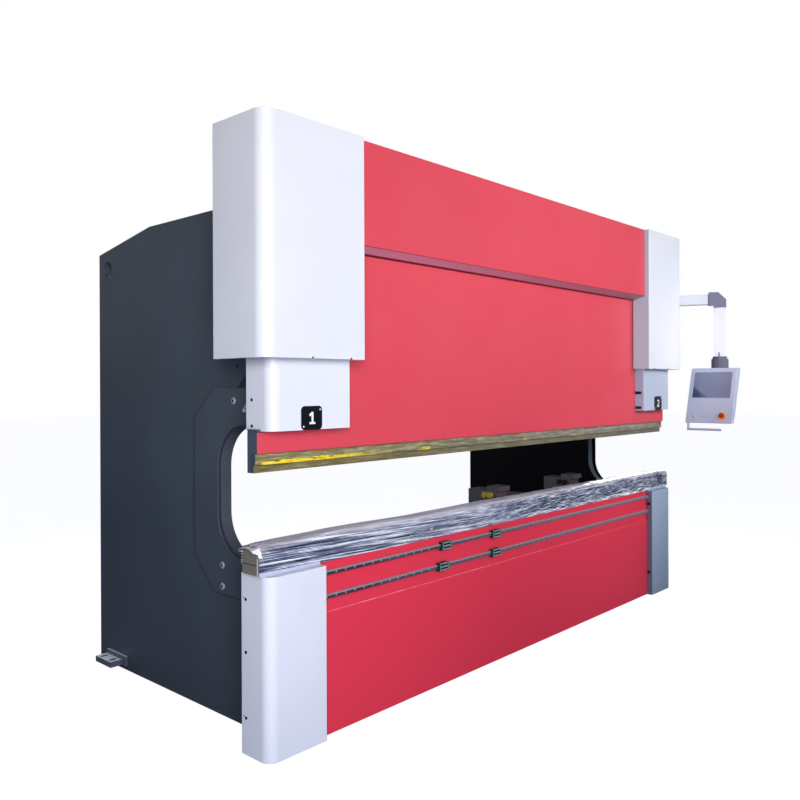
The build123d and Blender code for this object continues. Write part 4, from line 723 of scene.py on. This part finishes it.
# %% Dress the solids
FINISH = {
    "slate_enamel": slate_paint, "red_enamel": red_paint, "white_enamel": white_paint,
    "grey_enamel": lilac_paint, "greased_steel": clamp_steel, "machined_steel": machined,
    "rail_steel": rail_steel, "hard_chrome": chrome, "stretch_film": film_skin,
    "carriage_plastic": carriage_steel, "black_plastic": black_plastic,
    "grey_plastic": grey_plastic, "gauge_aluminium": gauge_metal, "display_glass": glass,
    "stop_red": stop_red, "stop_yellow": stop_yellow, "bright_button": bright,
}
OWN_FINISH = {"pendant_arm": arm_paint, "rear_feet": foot_steel, "left_cylinder": slate_paint,
              "right_cylinder": slate_paint}
for row in frame["record"]["subparts"]:
    solid = frame["nodes"][row["node"]]
    solid.data.materials.clear()
    solid.data.materials.append(OWN_FINISH.get(row["node"], FINISH[row["material_slot"]]))

# %% [markdown]
# ## Building small pieces
# Each piece is one mesh made of simple shapes. Sizes are typed in millimetres, as on a
# drawing, and turned into metres on the way in. A disc is made along Z and turned to its axis.

# %% Mesh helpers
TURNS = {"X": Matrix.Rotation(math.pi / 2, 4, "Y"), "Y": Matrix.Rotation(math.pi / 2, 4, "X"),
         "Z": Matrix.Identity(4)}


def add_box(shape, low, high, bevel=0.0):
    """Box between two corners in millimetres."""
    size = [b - a for a, b in zip(low, high)]
    middle = [(a + b) / 2 * MM for a, b in zip(low, high)]
    made = bmesh.ops.create_cube(shape, size=1.0)
    bmesh.ops.scale(shape, vec=[s * MM for s in size], verts=made["verts"])
    bmesh.ops.translate(shape, vec=middle, verts=made["verts"])
    if bevel:
        edges = list(dict.fromkeys(e for v in made["verts"] for e in v.link_edges))
        bmesh.ops.bevel(shape, geom=edges, offset=bevel * MM, segments=2, affect="EDGES",
                        profile=0.5)


def add_disc(shape, centre, axis, radius, length, sides=20, tip=None):
    """Cylinder or cone centred on a point in millimetres, along X, Y or Z."""
    tip = radius if tip is None else tip
    spot = Matrix.Translation([c * MM for c in centre]) @ TURNS[axis]
    bmesh.ops.create_cone(shape, cap_ends=True, segments=sides, radius1=radius * MM,
                          radius2=tip * MM, depth=length * MM, matrix=spot)


def finish_piece(name, shape, skin, body, smooth=False):
    """Turns a shape into an object that rides a body, and gives back how many faces it has."""
    mesh = bpy.data.meshes.new(name)
    shape.to_mesh(mesh)
    shape.free()
    mesh.materials.append(skin)
    piece = bpy.data.objects.new(name, mesh)
    bpy.context.scene.collection.objects.link(piece)
    if smooth:
        mesh.shade_smooth()
    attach(piece, body)
    return len(mesh.polygons)


print("discs turn to", sorted(TURNS))

# %% [markdown]
# ## Stretch film, its form
# The film is a long tube cut open underneath: a profile of the base and die, swept along X. Its
# lowest line hangs lower in the middle than over the table covers, its top line sags and swells
# a little, and its right end is pulled in over the edge. Lines are given as points of x and a
# lift, both in millimetres.

# %% Outline of the film
FILM_LEFT, FILM_RIGHT = -2014.0, 2004.0
FILM_WIDTH = 0.42
PROFILE = [(-60, 791), (-60.5, 840), (-60, 876), (-58, 895), (-51, 909), (-41, 917),
           (-28, 920), (0, 921), (28, 920), (40, 917), (48, 908), (52, 895), (53.5, 876),
           (53.5, 840), (53.5, 798.5)]
TOP_LINE = [(-2014, -4), (-1975, 1), (-1866, 3), (-1525, 7.5), (-1250, 3), (-1011, -0.5),
            (-447, 4), (300, 1), (1133, 0), (1950, 1), (2025, 0)]
HEM_LINE = [(-2014, 14), (-1668, 14), (-1655, 6), (-600, 3), (1655, 1), (1668, 12), (2025, 12)]
END_RINGS = [(2010, 0.0), (2018, 3.0), (2023, 9.0), (2025, 18.0), (2025, 42.0)]
ROWS, COLUMNS = 84, 520


def between(table, x):
    """Value at x on a line of (x, value) points."""
    for (x0, v0), (x1, v1) in zip(table, table[1:]):
        if x <= x1:
            return v0 + (v1 - v0) * (x - x0) / (x1 - x0)
    return table[-1][1]


def along_profile(share):
    """Point and outward direction at a share of the profile's length."""
    steps = [math.dist(a, b) for a, b in zip(PROFILE, PROFILE[1:])]
    left = share * sum(steps)
    for index, step in enumerate(steps):
        if left <= step or index == len(steps) - 1:
            (y0, z0), (y1, z1) = PROFILE[index], PROFILE[index + 1]
            t = min(1.0, left / step)
            return y0 + (y1 - y0) * t, z0 + (z1 - z0) * t, -(z1 - z0) / step, (y1 - y0) / step
        left -= step


print("girth", round(sum(math.dist(a, b) for a, b in zip(PROFILE, PROFILE[1:]))), "mm")

# %% [markdown]
# Creases push the film out from the steel. Noise stretched along X makes the ones that run
# lengthways, and a rounder noise makes the crumple, which grows towards the right. Noise is a
# fixed function of place, so every run gives the same film.

# %% Creases that stand off the steel
def crease(x, girth):
    """How far the film stands off the steel, in millimetres; x and girth in metres."""
    long = abs(noise.noise(Vector((x * 1.2, girth * 34 - x * 0.8, 3.1))))
    fine = abs(noise.noise(Vector((x * 4.0, girth * 85 - x * 2.0, 7.7))))
    crumple = noise.noise(Vector((x * 14, girth * 30 + x * 6, 1.3)))
    more = min(1.0, max(0.0, (x + 1.0) / 1.5))
    return (0.3 + 2.6 * long + (1.0 - 0.5 * more) * 1.8 * fine
            + (0.4 + 1.8 * more) * max(0.0, crumple + 0.3))


print("film stands off by", round(crease(-1.5, 0.2), 1), "mm at the left,",
      round(crease(1.5, 0.2), 1), "mm at the right")

# %% [markdown]
# The sweep goes row by row round the profile, and each row runs the length of the film. The
# left edge is ragged, and its upper corner is drawn out and down, as the wrap is in the photo.
# The last few columns are rings that close over the right end.

# %% Sweep of the film
def film_row(row):
    """One lengthways line of points along the film."""
    y, z, out_y, out_z = along_profile(row / ROWS)
    girth = row / ROWS * FILM_WIDTH
    ragged = 8 * noise.noise(Vector((0.3, girth * 40, 5.0)))
    line = []
    places = [FILM_LEFT + (FILM_RIGHT - FILM_LEFT) * n / COLUMNS for n in range(COLUMNS + 1)]
    for index, x in enumerate(places + [x for x, _ in END_RINGS]):
        ring = index - len(places)
        inset = END_RINGS[ring][1] if ring >= 0 else 0.0
        lift = between(TOP_LINE, x) * max(0.0, min(1.0, (z - 880) / 35))
        lift += between(HEM_LINE, x) * max(0.0, min(1.0, (830 - z) / 35))
        off = crease(x * MM, girth) * (1.0 if ring < 3 else 0.0)
        pull = Vector((-y, 860 - z)).normalized() * inset
        if index < 8:
            over = max(0.0, min(1.0, (z - 885) / 20)) * (8 - index) / 8
            x += (ragged - 24 * over) * (8 - index) / 8
            lift -= 9 * over * over
        line.append((x * MM, (y + out_y * off + pull.x) * MM,
                     max(z + out_z * off + lift + pull.y, 790.0) * MM))
    return line


film_mesh = bpy.data.meshes.new("stretch_film")
points = [point for row in range(ROWS + 1) for point in film_row(row)]
width = len(points) // (ROWS + 1)
faces = [(a, a + 1, a + width + 1, a + width) for row in range(ROWS)
         for a in range(row * width, row * width + width - 1)]
film_mesh.from_pydata(points, [], faces)
film_mesh.shade_smooth()
film_mesh.materials.append(film_skin)
film = bpy.data.objects.new("stretch_film", film_mesh)
bpy.context.scene.collection.objects.link(film)
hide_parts("film_wrap")
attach(film, "machine")
print("film faces", len(faces))

# %% [markdown]
# ## Lips and the end plate
# Under the film the top edge of each table cover shows as a pale strip, and the end plate of
# the base has a bright cut edge. Thin boxes a fraction of a millimetre proud do for both. The
# left strip takes the light grey coat, a painted shade of the white edge under the film.

# %% Lips of the table covers and the edge of the end plate
# the left lip's light grey coat is painted shade
for side, skin in ((-1, lilac_paint), (1, white_paint)):
    lip = bmesh.new()
    ends = sorted((side * 1667, side * 2000 - 10))
    add_box(lip, (ends[0], -60.2, 788.6), (ends[1], -58.4, 806.5), 0.3)
    made = finish_piece("table_cover_lip", lip, skin, "machine")
    print("lip faces", made)
plate_edge = bmesh.new()
add_box(plate_edge, (-2019.4, -62, 798), (-2018.1, -54, 872), 0.2)
made = finish_piece("end_plate_edge", plate_edge, bright, "machine")
print("edge faces", made)

# %% [markdown]
# ## Plugs of the linear rails
# Each rail is screwed down every 60 mm and the screw heads are closed with plugs, flush with
# the rail so that the carriages pass over them. Those at the left are bright zinc and those at
# the right dark steel, a painted reflection of the light that they catch only at the left.

# %% Rail plugs
RAIL_HEIGHTS, RAIL_START, RAIL_PITCH, RAIL_HOLES = (745, 637), -1638, 60, 55
# painted reflection: bright zinc plugs at the left, dark steel plugs at the right
plugs_painted_light, plugs_painted_dark = bmesh.new(), bmesh.new()
for height in RAIL_HEIGHTS:
    for index in range(RAIL_HOLES):
        x = RAIL_START + RAIL_PITCH * index
        add_disc(plugs_painted_light if x < -900 else plugs_painted_dark, (x, -70.45, height), "Y", 4.4, 0.3, 12)
finish_piece("rail_plugs_left", plugs_painted_light, zinc, "machine")
finish_piece("rail_plugs_right", plugs_painted_dark, dark_steel, "machine")
print("plugs", len(RAIL_HEIGHTS) * RAIL_HOLES)

# %% [markdown]
# ## Carriages
# A carriage has green end caps with black seals that reach round the rail, and pale bars beside
# its two dark slots. Each set rides on its own slider, so it travels with the carriage.

# %% Carriage caps, seals and bars
CARRIAGES = {"upper_left": (-783, 745), "upper_right": (-327, 745), "lower_left": (-806, 637),
             "lower_right": (-330, 637)}
for name, (x, z) in CARRIAGES.items():
    caps, seals, bars = bmesh.new(), bmesh.new(), bmesh.new()
    for side in (-1, 1):
        outer = x + side * 38.4
        ends = sorted((outer - side * 7.5, outer))
        add_box(caps, (ends[0], -83.6, z - 21.6), (ends[1], -82.0, z + 21.6), 0.4)
        for edge in (-1, 1):
            rim = sorted((z + edge * 20.4, z + edge * 22.2))
            add_box(caps, (ends[0], -83.6, rim[0]), (ends[1], -60, rim[1]), 0.3)
        seal = sorted((outer, outer + side * 1.8))
        add_box(seals, (seal[0], -83.2, z - 21.6), (seal[1], -70.9, z + 21.6), 0.3)
        for low, high in ((z - 21.6, z - 10.4), (z + 10.4, z + 21.6)):
            add_box(seals, (seal[0], -71.5, low), (seal[1], -59, high), 0.3)
        for screw in (-14, 14):
            add_disc(seals, (outer + side * 2.2, -77, z + screw), "X", 2.6, 1.2, 12)
    for rise, half in ((0, 3.2), (-17.2, 2.6), (17.2, 2.6)):
        add_box(bars, (x - 27, -83.5, z + rise - half), (x + 27, -82.9, z + rise + half), 0.2)
    body = name + "_slider"
    finish_piece(name + "_caps", caps, green_plastic, body)
    finish_piece(name + "_seals", seals, black_plastic, body)
    finish_piece(name + "_bars", bars, zinc, body)
print("carriages", len(CARRIAGES))

# %% [markdown]
# ## Screws of the covers
# Button-head screws hold the covers. Each is a short cone with a dark six-sided socket, a black
# disc of painted shade. The ram's covers go down with the ram, so their screws ride on it.

# %% Cover screws
TABLE_SIDE, RAM_SIDE = 1993, 1980
TABLE_SCREWS = [(57, 676), (57, 446), (57, 161)]
TABLE_HOLES = [(74, 681), (74, 166)]
RAM_SCREWS = [(26, 1540), (26, 1427)]


# the black sockets are painted shade
def side_screws(name, face, spots, body):
    """Screws and their sockets on the outer faces at both ends; spots are (y, z)."""
    heads, sockets = bmesh.new(), bmesh.new()
    for side in (-1, 1):
        for y, z in spots:
            add_disc(heads, (side * (face + 1.2), y, z), "X", 7.0, 2.4, 20)
            add_disc(sockets, (side * (face + 2.5), y, z), "X", 3.5, 0.4, 6)
    finish_piece(name + "_screws", heads, dark_steel, body)
    finish_piece(name + "_sockets", sockets, black_plastic, body)


side_screws("table_cover", TABLE_SIDE, TABLE_SCREWS, "machine")
# black discs for the small holes in the table covers: painted shade of the holes
holes = bmesh.new()
for side in (-1, 1):
    for y, z in TABLE_HOLES:
        add_disc(holes, (side * TABLE_SIDE, y, z), "X", 3.5, 0.6, 12)
finish_piece("table_cover_holes", holes, black_plastic, "machine")
side_screws("ram_cover", RAM_SIDE, RAM_SCREWS, "ram")
print("screws", 2 * (len(TABLE_SCREWS) + len(RAM_SCREWS)))

# %% [markdown]
# ## Bolts of the measuring plates
# Three bolts hold each C-shaped plate, with a chamfered washer under a head and its dark
# socket, a disc of painted shade. A small bright bracket at the plate's upper end carries the
# scale.

# %% Washers, bolts and brackets
PLATE_BOLTS = [(435, 743), (435, 642), (341, 1530)]
# the dark six-sided discs are painted shade in the bolt sockets
washers, bolts, brackets = bmesh.new(), bmesh.new(), bmesh.new()
for side in (-1, 1):
    for y, z in PLATE_BOLTS:
        add_disc(washers, (side * 1848.2, y, z), "X", 17, 2.4, 28, 15)
        add_disc(washers, (side * 1851.8, y, z), "X", 12.5, 5.0, 28)
        add_disc(bolts, (side * 1854.5, y, z), "X", 7.5, 1.2, 6)
    inner, outer = sorted((side * 1847, side * 1866))
    add_box(brackets, (inner, 196, 1488), (outer, 240, 1506), 1.0)
    add_box(brackets, (inner, 228, 1480), (outer, 250, 1494), 1.0)
    add_box(brackets, (inner, 216, 1496), (outer, 232, 1514), 1.0)
finish_piece("plate_washers", washers, zinc, "machine")
finish_piece("plate_bolts", bolts, dark_steel, "machine")
finish_piece("scale_brackets", brackets, bright, "machine")
print("plate bolts", 2 * len(PLATE_BOLTS))

# %% [markdown]
# ## What closes the slots
# The slots of the rear feet open on a shadow, and the key slots of the covers on a dark inside.
# A black piece behind each paints that shade in, and keeps the white background from showing
# through.

# %% Foot shadow and slot liners, black as painted shade
# painted shade: black pieces behind the slots
foot_shadow, ram_shade_liners, table_shade_liners = bmesh.new(), bmesh.new(), bmesh.new()
for side in (-1, 1):
    ends = sorted((side * 1822, side * 1892))
    add_box(foot_shadow, (ends[0], 1445, 25), (ends[1], 1606, 30))
    ends = sorted((side * 1521.5, side * 1527))
    for height in (1427, 1540):
        add_box(ram_shade_liners, (ends[0], -92, height - 15), (ends[1], -37, height + 15))
    ends = sorted((side * 1666.5, side * 1672))
    for height in (171, 691):
        add_box(table_shade_liners, (ends[0], -91, height - 15), (ends[1], -60, height + 15))
finish_piece("foot_slot_shadow", foot_shadow, black_plastic, "machine")
finish_piece("ram_slot_shade", ram_shade_liners, black_plastic, "ram")
finish_piece("table_slot_shade", table_shade_liners, black_plastic, "machine")
print("slots and feet closed")

# %% [markdown]
# ## Spacers
# Slate spacers close the gap between the ram's ends and its covers. A narrow strip and a wider
# foot below it do for each end.

# %% Spacers between the ram and its covers
spacers = bmesh.new()
for side in (-1, 1):
    ends = sorted((side * 1966, side * 1979.5))
    add_box(spacers, (ends[0], -34, 1400.4), (ends[1], 32, 1405.6))
    ends = sorted((side * 1980.6, side * 1999.4))
    add_box(spacers, (ends[0], -34.5, 1400.2), (ends[1], 32.5, 1414.0), 0.5)
made = finish_piece("ram_cover_spacers", spacers, slate_paint, "ram")
print("spacer faces", made)

# %% [markdown]
# ## Small holes of the tool seat
# A row of holes runs along the front of the tool seat, for the screws that hold the tools. Each
# is a dark disc of painted shade that lies a hair proud of the steel, since nobody sees into a
# hole this small.

# %% Holes of the tool seat
HOLE_START, HOLE_PITCH, HOLE_COUNT = -1975, 104.5, 38
# painted shade: a black disc for each hole
holes = bmesh.new()
for index in range(HOLE_COUNT):
    add_disc(holes, (HOLE_START + HOLE_PITCH * index, -22.1, 1271), "Y", 2.2, 0.5, 12)
made = finish_piece("clamp_holes", holes, black_plastic, "ram")
print("hole faces", made)

# %% [markdown]
# ## Screws of the upper covers
# Two small screws hold each upper cover along its lower edge. At this size a short cone is all
# that shows of a head.

# %% Screws along the lower edge of the upper covers
heads = bmesh.new()
for side in (-1, 1):
    for x in (1570, 1800):
        add_disc(heads, (side * x, -168.2, 1722), "Y", 5.0, 1.6, 16, 3.5)
made = finish_piece("upper_cover_screws", heads, dark_steel, "machine")
print("head faces", made)

# %% [markdown]
# ## Number badges
# Plain numbers, one for each end of the ram, in white on the black plates, with two rivets.
# Each number is an outline in millimetres, filled and pushed out by the thickness of the ink.

# %% Badge numbers
BADGE_X, BADGE_Z, BADGE_FACE, INK_THICK = 1756, 1458, -109.1, 0.8
ONE = [(-15, -27), (19, -27), (19, -18), (8, -18), (8, 27), (-1, 27), (-17, 15), (-11, 7),
       (-3, 13), (-3, -18), (-15, -18)]
TWO = [(-18, -27), (19, -27), (19, -18), (-3, -18), (14, 0), (18, 9), (16, 19), (9, 26), (-2, 28),
       (-12, 25), (-18, 16), (-9, 12), (-5, 18), (2, 19), (8, 14), (7, 6), (-18, -19)]
rivets = bmesh.new()
for side, outline in ((-1, ONE), (1, TWO)):
    number = bmesh.new()
    corners = [number.verts.new(((side * BADGE_X + x) * MM, BADGE_FACE * MM, (BADGE_Z + z) * MM))
               for x, z in outline]
    face = number.faces.new(corners)
    lifted = bmesh.ops.extrude_face_region(number, geom=[face])["geom"]
    bmesh.ops.translate(number, vec=(0, -INK_THICK * MM, 0),
                        verts=[v for v in lifted if isinstance(v, bmesh.types.BMVert)])
    bmesh.ops.triangulate(number, faces=number.faces[:])
    bmesh.ops.recalc_face_normals(number, faces=number.faces[:])
    finish_piece("badge_number", number, ink, "ram")
    for dx, z in ((-48, 1421), (48, 1495)):
        add_disc(rivets, (side * BADGE_X + dx, -109.6, z), "Y", 4.0, 1.6, 16)
made = finish_piece("badge_rivets", rivets, ink, "ram")
print("rivet faces", made)

# %% [markdown]
# ## Control panel
# A thin bezel round the display, a ring under the start button and two small lamps. The box is
# turned and tilted, so its small pieces are made flat and then carried there by one matrix.

# %% Place of the panel's face
TILT, PANEL_YAW = math.radians(20), math.radians(3.4)
PANEL_HEIGHT = 0.461
to_drop = Matrix.Translation((DROP_X, DROP_Y, 0)) @ Matrix.Rotation(PANEL_YAW, 4, "Z")
lean, rise = PANEL_HEIGHT * math.sin(TILT), PANEL_HEIGHT * math.cos(TILT)
face_x, face_z = Vector((0, -1, 0)), Vector((-math.cos(TILT), 0, math.sin(TILT)))
face_y = face_z.cross(face_x)
to_face = Matrix((face_x, face_y, face_z)).transposed().to_4x4()
to_face.translation = Vector((-0.078 - lean / 2, 0.020, 1.730 - rise / 2))
panel_place = to_drop @ to_face
print("panel face at", [round(v, 3) for v in panel_place.translation])

# %% [markdown]
# The bezel is four thin bars, the ring a flat cone and each lamp a low disc. The matrix above
# carries all three to the face, and they ride on the control box.

# %% Bezel, ring and lamps
BUTTON_ROW = -171.5
bezel, ring, marks = bmesh.new(), bmesh.new(), bmesh.new()
for x0, x1, y0, y1 in ((-151, -145, -26, 202), (145, 151, -26, 202), (-151, 151, 195.5, 202),
                       (-151, 151, -26, -19.5)):
    add_box(bezel, (x0, y0, 0), (x1, y1, 2.4), 0.6)
add_disc(ring, (-115, BUTTON_ROW, 1.2), "Z", 16.5, 2.4, 32, 14)
for across in (-52, -4):
    add_disc(marks, (across, BUTTON_ROW, 0.5), "Z", 4.5, 1.0, 20)
for name, shape, skin, slot in (("display_bezel", bezel, lilac_paint, "grey_enamel"),
                                ("start_ring", ring, bright, "bright_button"),
                                ("small_lamps", marks, grey_plastic, "grey_plastic")):
    shape.transform(panel_place)
    made = finish_piece(name, shape, skin, "control_panel")
    print(name, made, "faces")

# %% [markdown]
# ## Back gauge knobs
# Round knobs lock the fingers on their beam, two on each. They are yellow on the left finger,
# and black on the right one as painted shade where they stand in shadow; they ride on the
# fingers.

# %% Knobs
KNOB_SIDE, KNOB_Z = 65, 824
# the right finger's knobs are black as painted shade
for body, x, knob in (("left_finger", 552, knob_yellow), ("right_finger", 1560, black_plastic)):
    knobs = bmesh.new()
    for y in (552, 595):
        add_disc(knobs, (x - KNOB_SIDE - 13.0, y, KNOB_Z), "X", 20.6, 25.6, 28)
        add_disc(knobs, (x - KNOB_SIDE - 26.5, y, KNOB_Z), "X", 12.0, 2.0, 20)
    made = finish_piece(body + "_knobs", knobs, knob, body)
    print(body, "knob faces", made)

# %% [markdown]
# ## The sides away from the camera
# The cabinet gets hinges, a handle and two fields of vents, as such cabinets have.

# %% Electric cabinet
DOOR, VENTS, VENT_PITCH = 2218.5, 8, 14
hinges, slots = bmesh.new(), bmesh.new()
for z in (700, 1215, 1730):
    add_disc(hinges, (2224, 817, z), "Z", 7, 70, 16)
add_box(hinges, (DOOR + 1, 1432, 1180), (2224, 1452, 1290), 1.5)
add_box(hinges, (2224, 1436, 1205), (2229.5, 1448, 1265), 1.5)
for row in range(VENTS):
    for z in (640, 1690):
        low = z + row * VENT_PITCH
        add_box(slots, (DOOR, 1050, low), (DOOR + 1.3, 1250, low + 5))
finish_piece("cabinet_fittings", hinges, dark_steel, "machine")
finish_piece("cabinet_vents", slots, black_plastic, "machine")
print("vents", 2 * VENTS)

# %% [markdown]
# The motor is cooled by fins along its body. One fin is made above the motor's axis and turned
# round it, 24 times.

# %% Motor fins
FINS, MOTOR_Y, MOTOR_Z = 24, 870, 2487
fins = bmesh.new()
for index in range(FINS):
    fin = bmesh.new()
    add_box(fin, (275, -1.5, 111), (545, 1.5, 117.5))
    around = Matrix.Rotation(2 * math.pi * index / FINS, 4, "X")
    fin.transform(Matrix.Translation((0, MOTOR_Y * MM, MOTOR_Z * MM)) @ around)
    mesh = bpy.data.meshes.new("fin")
    fin.to_mesh(mesh)
    fin.free()
    fins.from_mesh(mesh)
    bpy.data.meshes.remove(mesh)
made = finish_piece("motor_fins", fins, slate_paint, "machine")
print("fin faces", made)

# %% [markdown]
# Short plain pipes join the tank to the two cylinders: up from the tank, outward, forward and
# into the cylinder, with a wider elbow at each corner.

# %% Oil pipes
PIPE_Z, PIPE_R, ELBOW_R = 2425, 11, 14
pipes = bmesh.new()
for side in (-1, 1):
    add_disc(pipes, (side * 850, 620, 2384), "Z", PIPE_R, 82, 20)
    add_disc(pipes, (side * 1232, 620, PIPE_Z), "X", PIPE_R, 766, 20)
    add_disc(pipes, (side * 1615, 376, PIPE_Z), "Y", PIPE_R, 488, 20)
    add_disc(pipes, (side * 1631, 132, PIPE_Z), "X", PIPE_R, 32, 20)
    for x, y in ((850, 620), (1615, 620), (1615, 132)):
        add_disc(pipes, (side * x, y, PIPE_Z), "Z", ELBOW_R, 28, 20)
made = finish_piece("oil_pipes", pipes, chrome, "machine", True)
print("pipe faces", made)
